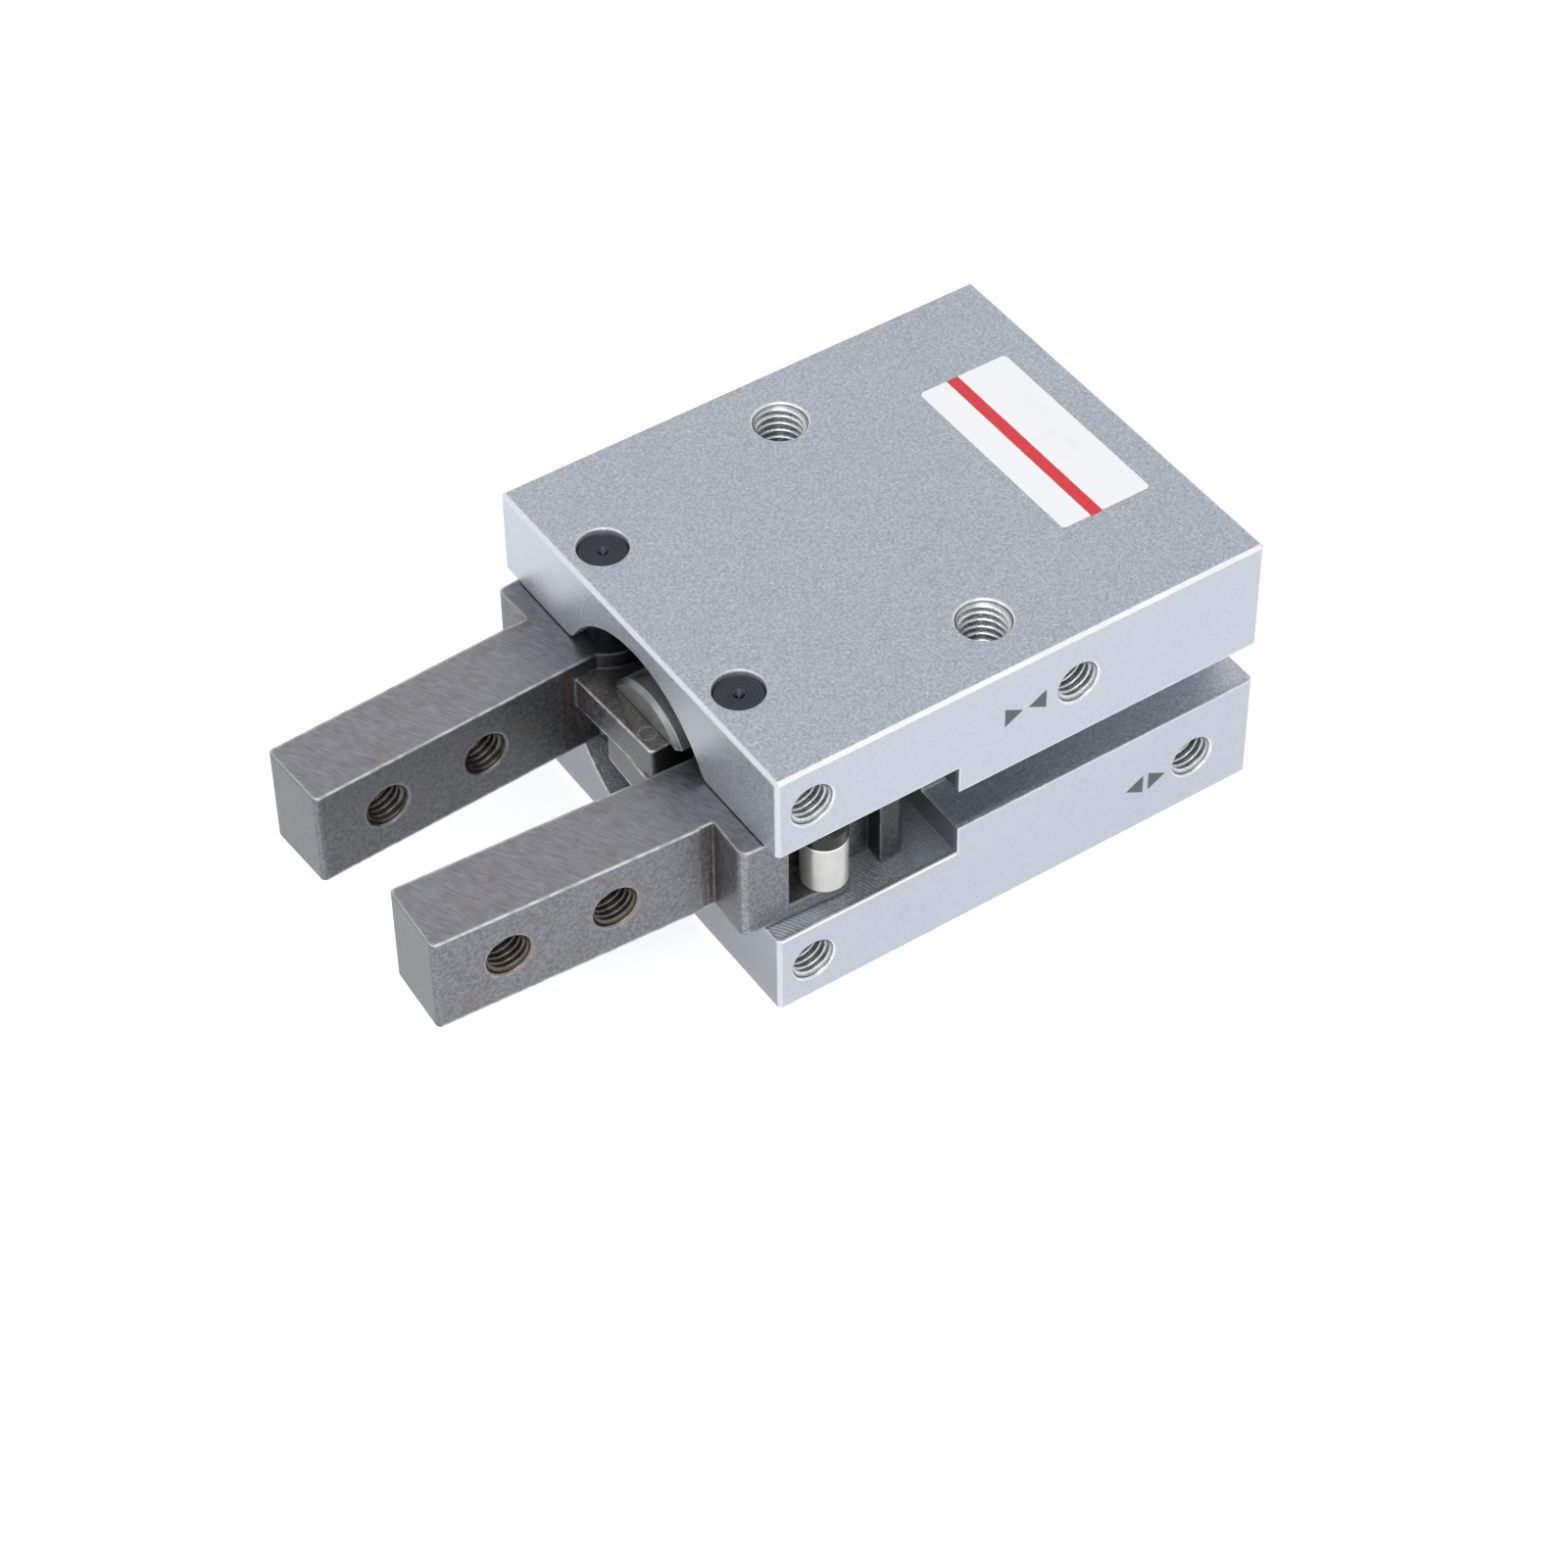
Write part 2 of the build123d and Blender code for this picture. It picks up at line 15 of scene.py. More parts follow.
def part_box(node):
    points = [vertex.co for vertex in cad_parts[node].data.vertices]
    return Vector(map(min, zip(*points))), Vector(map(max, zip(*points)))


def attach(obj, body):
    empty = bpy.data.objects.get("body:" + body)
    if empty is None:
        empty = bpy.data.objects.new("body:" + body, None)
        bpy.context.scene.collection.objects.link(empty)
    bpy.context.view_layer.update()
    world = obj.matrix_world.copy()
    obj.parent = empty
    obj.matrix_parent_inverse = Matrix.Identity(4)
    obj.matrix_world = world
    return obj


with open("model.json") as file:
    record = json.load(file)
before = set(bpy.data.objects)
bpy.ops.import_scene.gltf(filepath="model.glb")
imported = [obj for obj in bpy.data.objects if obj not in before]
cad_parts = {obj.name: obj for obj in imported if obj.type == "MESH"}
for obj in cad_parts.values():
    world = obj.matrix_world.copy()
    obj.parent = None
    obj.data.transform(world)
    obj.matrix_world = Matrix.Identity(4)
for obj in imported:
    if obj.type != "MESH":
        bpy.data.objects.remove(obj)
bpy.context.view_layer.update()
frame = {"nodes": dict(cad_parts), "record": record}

logging.basicConfig(level=logging.INFO, format="%(name)s: %(message)s")
log = logging.getLogger("gripper")

Pair = tuple[float, float]
Rgb = tuple[float, float, float]
Point = tuple[float, float, float]
Socket = bpy.types.NodeSocket
Value = float | Sequence[float] | Socket

MM = 0.001
COUNTERSINK = 0.2 * MM
MIDDLE = 16.8 * MM
PIVOT = (26.1 * MM, 12.75 * MM, 0.0)
ACROSS_X = (0.0, 1.0, 1.0)
ACROSS_Z = (1.0, 1.0, 0.0)
FACING = (0.9, 0.97)
NEARLY_FACING = (0.8, 0.95)
LEANING = (0.69, 0.73)
LEVEL_REACH = 0.2 * MM
WHITE = (1.0, 1.0, 1.0)


def linear(red: int, green: int, blue: int) -> Rgb:
    """Turn a display colour into scene-linear values.

    Args:
        red: Red from 0 to 255.
        green: Green from 0 to 255.
        blue: Blue from 0 to 255.

    Returns:
        The linear colour.
    """
    share = np.array([red, green, blue]) / 255
    low = share / 12.92
    high = ((share + 0.055) / 1.055) ** 2.4
    return tuple(float(v) for v in np.where(share <= 0.04045, low, high))


class Graph:
    """Writes shader nodes into one tree.

    Args:
        tree: The node tree to write into.
    """

    def __init__(self, tree: bpy.types.NodeTree) -> None:
        """Keep the tree."""
        self.tree = tree

    def feed(self, socket: Socket, value: Value) -> None:
        """Link a socket, or set its constant.

        Args:
            socket: The input to fill.
            value: An output socket, or the constant to set. A colour is given without its alpha.
        """
        if isinstance(value, Socket):
            self.tree.links.new(value, socket)
        elif socket.type == "RGBA":
            socket.default_value = (*value, 1.0)
        else:
            socket.default_value = value

    def node(self, kind: str, inputs: Mapping[str | int, Value] | None = None,
             **settings: object) -> bpy.types.Node:
        """Add a shader node.

        Args:
            kind: The node's type name without its ShaderNode prefix.
            inputs: What each input gets, by name or index.
            settings: The node's own properties.

        Returns:
            The new node.
        """
        made = self.tree.nodes.new("ShaderNode" + kind)
        for name, value in settings.items():
            setattr(made, name, value)
        for key, value in (inputs or {}).items():
            self.feed(made.inputs[key], value)
        return made

    def math(self, operation: str, *values: Value) -> Socket:
        """Add a math node and give its result."""
        return self.node("Math", dict(enumerate(values)), operation=operation).outputs[0]

    def product(self, *values: Value) -> Socket:
        """Multiply two or more values."""
        return reduce(partial(self.math, "MULTIPLY"), values)

    def highest(self, *values: Value) -> Socket:
        """Keep the highest of two or more values."""
        return reduce(partial(self.math, "MAXIMUM"), values)

    def magnitude(self, value: Value) -> Socket:
        """Drop a value's sign."""
        return self.math("ABSOLUTE", value)

    def vector(self, operation: str, *values: Value) -> bpy.types.Node:
        """Add a vector math node, whose outputs are named Vector and Value."""
        return self.node("VectorMath", dict(enumerate(values)), operation=operation)

    def spread(self, value: Value, low: Value, high: Value,
               to_low: float = 0.0, to_high: float = 1.0) -> Socket:
        """Stretch the range from low to high smoothly onto the one from to_low to to_high."""
        return self.node("MapRange", {0: value, 1: low, 2: high, 3: to_low, 4: to_high},
                         interpolation_type="SMOOTHSTEP").outputs[0]

    def window(self, value: Value, low: float, high: float, soft: float) -> Socket:
        """Mask that is 1 inside a range and 0 outside it.

        Args:
            value: What is tested.
            low: Lower end of the range.
            high: Upper end of the range.
            soft: Width of each end's fade.

        Returns:
            The mask.
        """
        rise = self.spread(value, low - soft, low)
        fall = self.spread(value, high, high + soft, 1.0, 0.0)
        return self.product(rise, fall)

    def inverse(self, mask: Value) -> Socket:
        """Turn a mask round: 1 where it is 0, and 0 where it is 1."""
        return self.math("SUBTRACT", 1.0, mask)

    def mixed(self, factor: Value, first: Value, second: Value) -> Socket:
        """Mix two values by the share of the second."""
        return self.node("Mix", {0: factor, 2: first, 3: second}).outputs[0]

    def fade(self, mask: Value, at_none: float, at_full: float) -> Socket:
        """Map a mask from 0 to 1 onto the range between two results."""
        return self.spread(mask, 0.0, 1.0, at_none, at_full)

    def facing(self, part: Value) -> Socket:
        """Mask of the faces that look along an axis, from the normal's part along it."""
        return self.spread(part, *FACING)

    def level(self, value: Value, place: float) -> Socket:
        """Mask of the faces that lie at one place of a coordinate, in metres."""
        return self.window(value, place - LEVEL_REACH, place + LEVEL_REACH, LEVEL_REACH / 2)

    def spot(self) -> tuple[tuple[Socket, ...], tuple[Socket, ...]]:
        """Object coordinates in metres and normal of a point, each as its three parts."""
        outputs = self.node("TexCoord").outputs
        return self.shares(outputs["Object"]), self.shares(outputs["Normal"])

    def blend(self, factor: Value, first: Value, second: Value) -> Socket:
        """Mix two colours by the share of the second."""
        return self.node("Mix", {0: factor, 6: first, 7: second}, data_type="RGBA").outputs[2]

    def scaled(self, colour: Value, factor: Value) -> Socket:
        """Multiply a colour by a value."""
        return self.node("VectorMath", {0: colour, "Scale": factor}, operation="SCALE").outputs[0]

    def place(self) -> Socket:
        """Object coordinates, in metres."""
        return self.node("TexCoord").outputs["Object"]

    def seen(self) -> Socket:
        """Mask of camera, mirror and glass rays, without the rays that carry light."""
        path = self.node("LightPath").outputs
        return self.highest(path["Is Camera Ray"], path["Is Glossy Ray"], path["Is Transmission Ray"])

    def shares(self, vector: Value) -> tuple[Socket, ...]:
        """Split a vector into its three parts."""
        return tuple(self.node("SeparateXYZ", {0: vector}).outputs)


class EffectGroup(ABC):
    """A surface effect shared by several finishes, kept as one node group."""

    title: str = "Effect"
    controls: Mapping[str, float | Point] = {}
    results: Sequence[str] = ("Value",)

    def tree(self) -> bpy.types.NodeTree:
        """Find the group, or write it the first time.

        Returns:
            The group's node tree.
        """
        known = bpy.data.node_groups.get(self.title)
        if known is not None:
            return known
        tree = bpy.data.node_groups.new(self.title, "ShaderNodeTree")
        for name, default in self.controls.items():
            kind = "NodeSocketVector" if isinstance(default, tuple) else "NodeSocketFloat"
            socket = tree.interface.new_socket(name=name, in_out="INPUT", socket_type=kind)
            socket.default_value = default
        for name in self.results:
            kind = "NodeSocketVector" if name == "Normal" else "NodeSocketFloat"
            tree.interface.new_socket(name=name, in_out="OUTPUT", socket_type=kind)
        graph = Graph(tree)
        entry = tree.nodes.new("NodeGroupInput")
        leave = tree.nodes.new("NodeGroupOutput")
        for name, socket in self.write(graph, entry).items():
            graph.feed(leave.inputs[name], socket)
        log.info("effect group %s", self.title)
        return tree

    @abstractmethod
    def write(self, graph: Graph, entry: bpy.types.Node) -> Mapping[str, Socket]:
        """Write the group's nodes.

        Args:
            graph: The group's graph.
            entry: The group's input node.

        Returns:
            The socket behind each result.
        """

    def use(self, graph: Graph, **values: Value) -> Mapping[str, Socket]:
        """Put the effect into a material, and give its results by name."""
        node = graph.node("Group", values, node_tree=self.tree())
        return {name: node.outputs[name] for name in self.results}


class BlastedGrain(EffectGroup):
    """Fine dents from blasting, and a mask of painted glints on some of them."""

    title = "Blasted Grain"
    controls = {"Scale": 5000.0}
    results = ("Value", "Painted Glint")

    def write(self, graph: Graph, entry: bpy.types.Node) -> Mapping[str, Socket]:
        """Write noise for the dents and random cells for the painted glints.

        Args:
            graph: The group's graph.
            entry: The group's input node.

        Returns:
            The socket behind each result.
        """
        place = graph.place()
        scale = entry.outputs["Scale"]
        noise = graph.node("TexNoise", {"Vector": place, "Scale": scale, "Detail": 2.0,
                                        "Roughness": 0.6}).outputs[0]
        cells = graph.node("TexVoronoi", {"Vector": place, "Scale": scale})
        luck = graph.shares(cells.outputs["Color"])[0]
        near = graph.spread(cells.outputs["Distance"], 0.1, 0.5, 1.0, 0.0)
        chosen = graph.spread(luck, 0.86, 0.96)
        return {"Value": graph.spread(noise, 0.3, 0.7), "Painted Glint": graph.product(near, chosen)}


class EdgeWearAndHighlight(EffectGroup):
    """Bright outer edges, worn and partly a painted highlight, found by short rays inside the solid, and a
    softened normal.
    """

    title = "Edge Wear And Highlight"
    controls = {"Width": 0.0003, "Breakup": 0.5}
    results = ("Mask", "Normal")

    def write(self, graph: Graph, entry: bpy.types.Node) -> Mapping[str, Socket]:
        """Write the inner occlusion, broken up by noise, and the bevelled normal.

        Args:
            graph: The group's graph.
            entry: The group's input node.

        Returns:
            The socket behind each result.
        """
        width = entry.outputs["Width"]
        soft = graph.node("Bevel", {"Radius": width}, samples=4)
        inside = graph.node("AmbientOcclusion", {"Distance": width}, samples=6, inside=True)
        edge = graph.spread(inside.outputs["AO"], 0.55, 0.93, 1.0, 0.0)
        noise = graph.node("TexNoise", {"Vector": graph.place(), "Scale": 900.0,
                                        "Detail": 3.0}).outputs[0]
        keep = graph.mixed(entry.outputs["Breakup"], 1.0, graph.spread(noise, 0.35, 0.6))
        return {"Mask": graph.product(edge, keep), "Normal": soft.outputs[0]}


class Streaks(EffectGroup):
    """Fine parallel marks, long where the stretch is small."""

    title = "Streaks"
    controls = {"Stretch": (300.0, 6000.0, 6000.0), "Turn": 0.0}
    results = ("Value",)

    def write(self, graph: Graph, entry: bpy.types.Node) -> Mapping[str, Socket]:
        """Write noise on coordinates that are turned about Z and stretched.

        Args:
            graph: The group's graph.
            entry: The group's input node.

        Returns:
            The socket behind each result.
        """
        turned = graph.node("VectorRotate", {"Vector": graph.place(), "Angle": entry.outputs["Turn"]},
                            rotation_type="Z_AXIS").outputs[0]
        drawn = graph.vector("MULTIPLY", turned, entry.outputs["Stretch"]).outputs[0]
        noise = graph.node("TexNoise", {"Vector": drawn, "Scale": 1.0, "Detail": 3.0}).outputs[0]
        return {"Value": graph.spread(noise, 0.3, 0.7)}


class Smudges(EffectGroup):
    """Soft uneven patches, for handling marks and mottled heat treatment."""

    title = "Smudges"
    controls = {"Scale": 150.0, "Low": 0.4, "High": 0.7}
    results = ("Mask",)

    def write(self, graph: Graph, entry: bpy.types.Node) -> Mapping[str, Socket]:
        """Write distorted noise between two thresholds.

        Args:
            graph: The group's graph.
            entry: The group's input node.

        Returns:
            The socket behind each result.
        """
        noise = graph.node("TexNoise", {"Vector": graph.place(), "Scale": entry.outputs["Scale"],
                                        "Detail": 5.0, "Distortion": 0.6}).outputs[0]
        return {"Mask": graph.spread(noise, entry.outputs["Low"], entry.outputs["High"])}


class Specks(EffectGroup):
    """Sparse specks and nicks, in the few cells that a random value picks."""

    title = "Specks"
    controls = {"Scale": 500.0, "Rarity": 0.9}
    results = ("Mask",)

    def write(self, graph: Graph, entry: bpy.types.Node) -> Mapping[str, Socket]:
        """Write small dots at the centres of random cells.

        Args:
            graph: The group's graph.
            entry: The group's input node.

        Returns:
            The socket behind each result.
        """
        cells = graph.node("TexVoronoi", {"Vector": graph.place(), "Scale": entry.outputs["Scale"]})
        luck = graph.shares(cells.outputs["Color"])[1]
        chosen = graph.math("GREATER_THAN", luck, entry.outputs["Rarity"])
        dot = graph.spread(cells.outputs["Distance"], 0.03, 0.09, 1.0, 0.0)
        return {"Mask": graph.product(dot, chosen)}


class TurningRings(EffectGroup):
    """Rings about an axis, folded so that a centre stands for both sides of the part."""

    title = "Turning Rings"
    controls = {"Centre": (0.0, 0.0, 0.0), "Plane": (1.0, 1.0, 0.0), "Pitch": 0.0002}
    results = ("Value", "Radius")

    def write(self, graph: Graph, entry: bpy.types.Node) -> Mapping[str, Socket]:
        """Write the distance from the axis and a wave on it.

        Args:
            graph: The group's graph.
            entry: The group's input node.

        Returns:
            The socket behind each result.
        """
        x, y, z = graph.shares(graph.place())
        folded = graph.node("CombineXYZ", {0: x, 1: graph.magnitude(y), 2: z}).outputs[0]
        offset = graph.vector("SUBTRACT", folded, entry.outputs["Centre"]).outputs[0]
        flat = graph.vector("MULTIPLY", offset, entry.outputs["Plane"]).outputs[0]
        radius = graph.vector("LENGTH", flat).outputs["Value"]
        turns = graph.math("DIVIDE", radius, entry.outputs["Pitch"])
        noise = graph.node("TexNoise", {"Vector": graph.place(), "Scale": 400.0}).outputs[0]
        wave = graph.math("SINE", graph.product(graph.math("ADD", turns, noise), math.tau))
        return {"Value": graph.spread(wave, -1.0, 1.0), "Radius": radius}


@dataclass(frozen=True)
class Finish(ABC):
    """How one material looks.

    Args:
        name: Name of the material.
    """

    name: str

    def build(self) -> bpy.types.Material:
        """Make the material.

        Returns:
            The material, with its surface linked.
        """
        material = bpy.data.materials.new(self.name)
        material.use_nodes = True
        material.node_tree.nodes.clear()
        graph = Graph(material.node_tree)
        graph.node("OutputMaterial", {"Surface": self.surface(graph)})
        log.info("material %s", self.name)
        return material

    @abstractmethod
    def surface(self, graph: Graph) -> Socket:
        """Write the material's shader.

        Args:
            graph: The material's graph.

        Returns:
            The shader socket.
        """


def bumped(graph: Graph, height: Value, depth: float, normal: Value | None = None) -> Socket:
    """Turn a height from 0 to 1 into a normal, with its depth in metres."""
    start = graph.node("NewGeometry").outputs["Normal"] if normal is None else normal
    return graph.node("Bump", {"Height": height, "Distance": depth, "Normal": start}).outputs[0]


def principled(graph: Graph, colour: Value, roughness: Value, normal: Value,
               **more: Value) -> Socket:
    """Add the shader that closes a finish.

    Args:
        graph: The material's graph.
        colour: Its base colour.
        roughness: Its roughness.
        normal: Its normal.
        more: Its other inputs, with underscores for spaces.

    Returns:
        The shader socket.
    """
    extra = {name.replace("_", " "): value for name, value in more.items()}
    return graph.node("BsdfPrincipled", {
        "Base Color": colour, "Roughness": roughness, "Normal": normal, **extra}).outputs[0]


@dataclass(frozen=True)
class AnodisedBlock(Finish):
    """Blasted and clear-anodised block, with milled slot faces and bright edges.

    Places and distances are in metres.

    Args:
        flat_colour: The broad top and bottom faces.
        side_colour: The four outer sides, lighter than the top and bottom faces partly as a painted
            reflection.
        milled_colour: Faces inside the slot and the grooves.
        edge_colour: Painted highlights on the chamfers, the slot's lip, the pins' recesses and the glints,
            and the worn edges.
        nick_colour: Small nicks in the chamfers.
        dust_colour: Dust specks.
        end_chamfer_highlight: Brightness of the painted highlight on the chamfers that lean along X, as a
            share of the others.
        corner_chamfer_highlight: Brightness of the painted highlight on the upright corners' chamfers.
        metallic: Share of metallic reflection.
        roughness: Range of the roughness over the grain.
        polish: How much smoother the worn edges are.
        grain_scale: Blasting dents per metre.
        grain_depth: Depth of the blasting dents.
        grain_swing: How much the dents change the brightness of the flat faces.
        side_swing: Share of that on the other faces.
        sparkle: Strength of the painted glints on the flat faces.
        dust: Strength of the dust specks.
        nicks: Strength of the nicks.
        edge_wear: Strength of the worn edges, partly a painted highlight.
        pin_wear_and_highlight: Strength of the worn edges beside a pin, partly a painted highlight.
        pin_spare: Share of the chamfers' painted highlight that is spared beside a pin.
        inner_x: How far the inner faces reach along X.
        inner_y: Where they fade out along Y.
        inner_z: Between which heights they lie.
        front_shading: Between which heights, and from which brightness to which, the front brightens; its
            darker low part is a painted shade under the fingers.
        side_shading: The same for the other sides, a slight painted shade towards the bottom.
        slot_floor: Height of the finger slot's floor.
        slot_end: X of its rear wall.
        lip_y: Where the painted highlight along the lip of its floor fades in along Y.
        lip_depth: How far that highlight reaches down the side.
        lip_highlight: Brightness of that highlight.
        mouth_x: Where the cutter marks on its floor fade in along X.
        groove_floor: Height of the side grooves' floor.
        groove_fade: How far from the slot the grooves' shadow fades out.
        groove_tones: Brightness of the groove's floor away from the slot and beside it.
        step_shade: Brightness of the painted shade on the inner faces that look to the front.
        arc_centre: Centre of the cutter marks on the slot's floor.
        arc_pitch: Spacing of the cutter marks.
        arc_tones: Range of their brightness.
        arc_share: Their share at the slot's inner end.
        floor_tones: Range of the floor's brightness over the grain, where no marks show.
        recess_z: Where the recesses of the fulcrum pins fade in by height.
        recess_radius: Where the painted highlight on the wall above each pin ends, away from the pin's axis.
        recess_reach: Up to where the rim round a pin is spared from the chamfers' painted highlight and from
            most edge wear.
    """

    flat_colour: Rgb = linear(174, 180, 189)
    side_colour: Rgb = linear(189, 194, 203)
    milled_colour: Rgb = linear(198, 203, 210)
    edge_colour: Rgb = linear(255, 255, 255)
    nick_colour: Rgb = linear(96, 98, 102)
    dust_colour: Rgb = (0.5, 0.5, 0.48)
    end_chamfer_highlight: float = 0.36
    corner_chamfer_highlight: float = 0.3
    metallic: float = 0.85
    roughness: Pair = (0.38, 0.5)
    polish: float = 0.14
    grain_scale: float = 3400.0
    grain_depth: float = 0.014 * MM
    grain_swing: float = 0.42
    side_swing: float = 0.35
    sparkle: float = 0.4
    dust: float = 0.25
    nicks: float = 0.5
    edge_wear: float = 0.8
    pin_wear_and_highlight: float = 0.15
    pin_spare: float = 0.75
    inner_x: float = 30.0 * MM
    inner_y: Pair = (25.2 * MM, 25.6 * MM)
    inner_z: Pair = (0.9 * MM, 32.7 * MM)
    front_shading: tuple[float, ...] = (3.0 * MM, 30.0 * MM, 0.64, 1.02)
    side_shading: tuple[float, ...] = (10.0 * MM, 22.0 * MM, 0.96, 1.0)
    slot_floor: float = 10.55 * MM
    slot_end: float = 8.19 * MM
    lip_y: Pair = (25.7 * MM, 25.85 * MM)
    lip_depth: float = 0.3 * MM
    lip_highlight: float = 0.85
    mouth_x: Pair = (22.5 * MM, 28.5 * MM)
    groove_floor: float = 14.05 * MM
    groove_fade: float = 30.0 * MM
    groove_tones: Pair = (0.88, 0.46)
    step_shade: float = 0.5
    arc_centre: Point = (44.0 * MM, 34.0 * MM, 0.0)
    arc_pitch: float = 0.42 * MM
    arc_tones: Pair = (1.0, 1.6)
    arc_share: float = 0.12
    floor_tones: Pair = (0.86, 1.14)
    recess_z: Pair = (32.6 * MM, 32.9 * MM)
    recess_radius: Pair = (3.1 * MM, 3.2 * MM)
    recess_reach: Pair = (3.6 * MM, 3.7 * MM)

    def surface(self, graph: Graph) -> Socket:
        """Write grain with painted glints on the outer faces, cutter arcs on the slot floor, worn edges, and
        painted highlights on the chamfers, the slot's lip and the pins' recesses.

        Args:
            graph: The material's graph.

        Returns:
            The shader socket.
        """
        (x, y, z), (nx, _, nz) = graph.spot()
        rise = graph.magnitude(nz)
        flat = graph.facing(rise)
        grain = BlastedGrain().use(graph, Scale=self.grain_scale)
        wear = EdgeWearAndHighlight().use(graph, Width=0.3 * MM, Breakup=0.4)
        patches = Smudges().use(graph, Scale=60.0, Low=0.35, High=0.7)
        dust = Specks().use(graph, Scale=420.0, Rarity=0.93)
        nicks = Specks().use(graph, Scale=800.0, Rarity=0.86)
        arcs = TurningRings().use(graph, Centre=self.arc_centre, Pitch=self.arc_pitch)
        pin = TurningRings().use(graph, Centre=PIVOT, Pitch=self.arc_pitch)
        inside = graph.product(graph.window(z, *self.inner_z, 0.1 * MM),
                               graph.spread(graph.magnitude(y), *self.inner_y, 1.0, 0.0),
                               graph.window(x, -self.inner_x, self.inner_x, 0.2 * MM))
        floor = graph.product(graph.facing(nz), graph.level(z, self.slot_floor))

        swing = graph.product(graph.math("SUBTRACT", grain["Value"], 0.5),
                              graph.mixed(flat, self.side_swing, 1.0), self.grain_swing)
        cut = graph.mixed(graph.spread(x, *self.mouth_x, self.arc_share, 1.0),
                          graph.fade(grain["Value"], *self.floor_tones),
                          graph.fade(arcs["Value"], *self.arc_tones))
        shade = graph.product(graph.mixed(floor, graph.math("ADD", 1.0, swing), cut),
                              graph.fade(patches["Mask"], 0.99, 1.01))
        toned = graph.scaled(self.base(graph, flat, graph.facing(nx), inside), shade)
        # Painted glints: white specks on some blasting dents of the flat faces.
        glint = graph.product(grain["Painted Glint"], flat, self.sparkle)
        glinted = graph.blend(glint, toned, self.edge_colour)

        # Painted highlight in the edge colour: the lit upper wall above each pin, the chamfers, brighter or
        # darker by the way they lean and spared beside a pin, and the lip of the slot's floor.
        upper = graph.spread(z, *self.recess_z)
        near_pin = graph.product(graph.spread(pin["Radius"], *self.recess_reach, self.pin_spare, 0.0), upper)
        recess_highlight = graph.product(graph.spread(pin["Radius"], *self.recess_radius, 1.0, 0.0), upper,
                               graph.spread(rise, 0.3, 0.6, 1.0, 0.0))
        chamfer = graph.product(self.chamfers(graph), graph.inverse(inside), graph.inverse(near_pin))
        edge_highlight = graph.product(graph.highest(chamfer, recess_highlight, self.lip(graph, floor)),
                                 graph.fade(patches["Mask"], 0.8, 1.0))
        # Worn edges, partly a painted highlight, weaker beside a pin.
        worn_and_lit = graph.product(wear["Mask"], graph.spread(
            near_pin, 0.0, self.pin_spare, self.edge_wear, self.pin_wear_and_highlight))
        bright = graph.highest(worn_and_lit, edge_highlight)
        lit = graph.blend(bright, glinted, self.edge_colour)
        nicked = graph.blend(graph.product(nicks["Mask"], chamfer, self.nicks), lit, self.nick_colour)
        dusty = graph.blend(graph.product(dust["Mask"], self.dust), nicked, self.dust_colour)
        polished = graph.math("SUBTRACT", graph.fade(grain["Value"], *self.roughness),
                              graph.product(bright, self.polish))
        height = graph.mixed(floor, grain["Value"], arcs["Value"])
        normal = bumped(graph, height, self.grain_depth, wear["Normal"])
        return principled(graph, dusty, polished, normal, Metallic=self.metallic)

    def base(self, graph: Graph, flat: Value, front: Value, inside: Value) -> Socket:
        """Colour of the faces before any grain.

        Args:
            graph: The material's graph.
            flat: Mask of the faces that look up or down.
            front: Mask of the faces that look to the front.
            inside: Mask of the slot and the grooves.

        Returns:
            The colour, with painted shade on the step, in the grooves behind the slot and low on the sides.
        """
        (x, _, z), _ = graph.spot()
        groove = graph.product(flat, graph.level(z, self.groove_floor))
        # Painted shade: the sides darken slightly towards the bottom, and the front much more under the
        # fingers.
        shading = graph.mixed(front, graph.spread(z, *self.side_shading), graph.spread(z, *self.front_shading))
        sides = graph.scaled(self.side_colour, shading)
        # Painted shade on the inner faces that look to the front, and painted shadow in the grooves behind
        # the slot.
        step = graph.fade(graph.product(front, inside), 1.0, self.step_shade)
        shadow = graph.spread(x, self.slot_end - self.groove_fade, self.slot_end, *self.groove_tones)
        milled = graph.scaled(self.milled_colour, graph.mixed(groove, step, shadow))
        return graph.blend(inside, graph.blend(flat, sides, self.flat_colour), milled)

    def chamfers(self, graph: Graph) -> Socket:
        """Mask of the painted highlight on the faces at 45 degrees.

        Args:
            graph: The material's graph.

        Returns:
            Their brightness.
        """
        lean_x, lean_y, lean_z = (graph.window(graph.magnitude(part), *LEANING, 0.01)
                                  for part in graph.spot()[1])
        level = graph.product(lean_z, graph.fade(lean_x, 1.0, self.end_chamfer_highlight))
        return graph.highest(level, graph.product(lean_x, lean_y, self.corner_chamfer_highlight))

    def lip(self, graph: Graph, floor: Value) -> Socket:
        """Mask of the painted highlight along the outer edge of the slot's floor.

        Args:
            graph: The material's graph.
            floor: Mask of the slot's floor.

        Returns:
            Its brightness.
        """
        (x, y, z), (_, ny, _) = graph.spot()
        drop = graph.window(z, self.slot_floor - self.lip_depth, self.slot_floor, 0.06 * MM)
        side = graph.product(graph.facing(graph.magnitude(ny)), drop)
        top = graph.product(floor, graph.spread(graph.magnitude(y), *self.lip_y))
        along = graph.spread(x, self.slot_end, self.slot_end + 0.3 * MM, 0.0, self.lip_highlight)
        return graph.product(graph.highest(side, top), along)


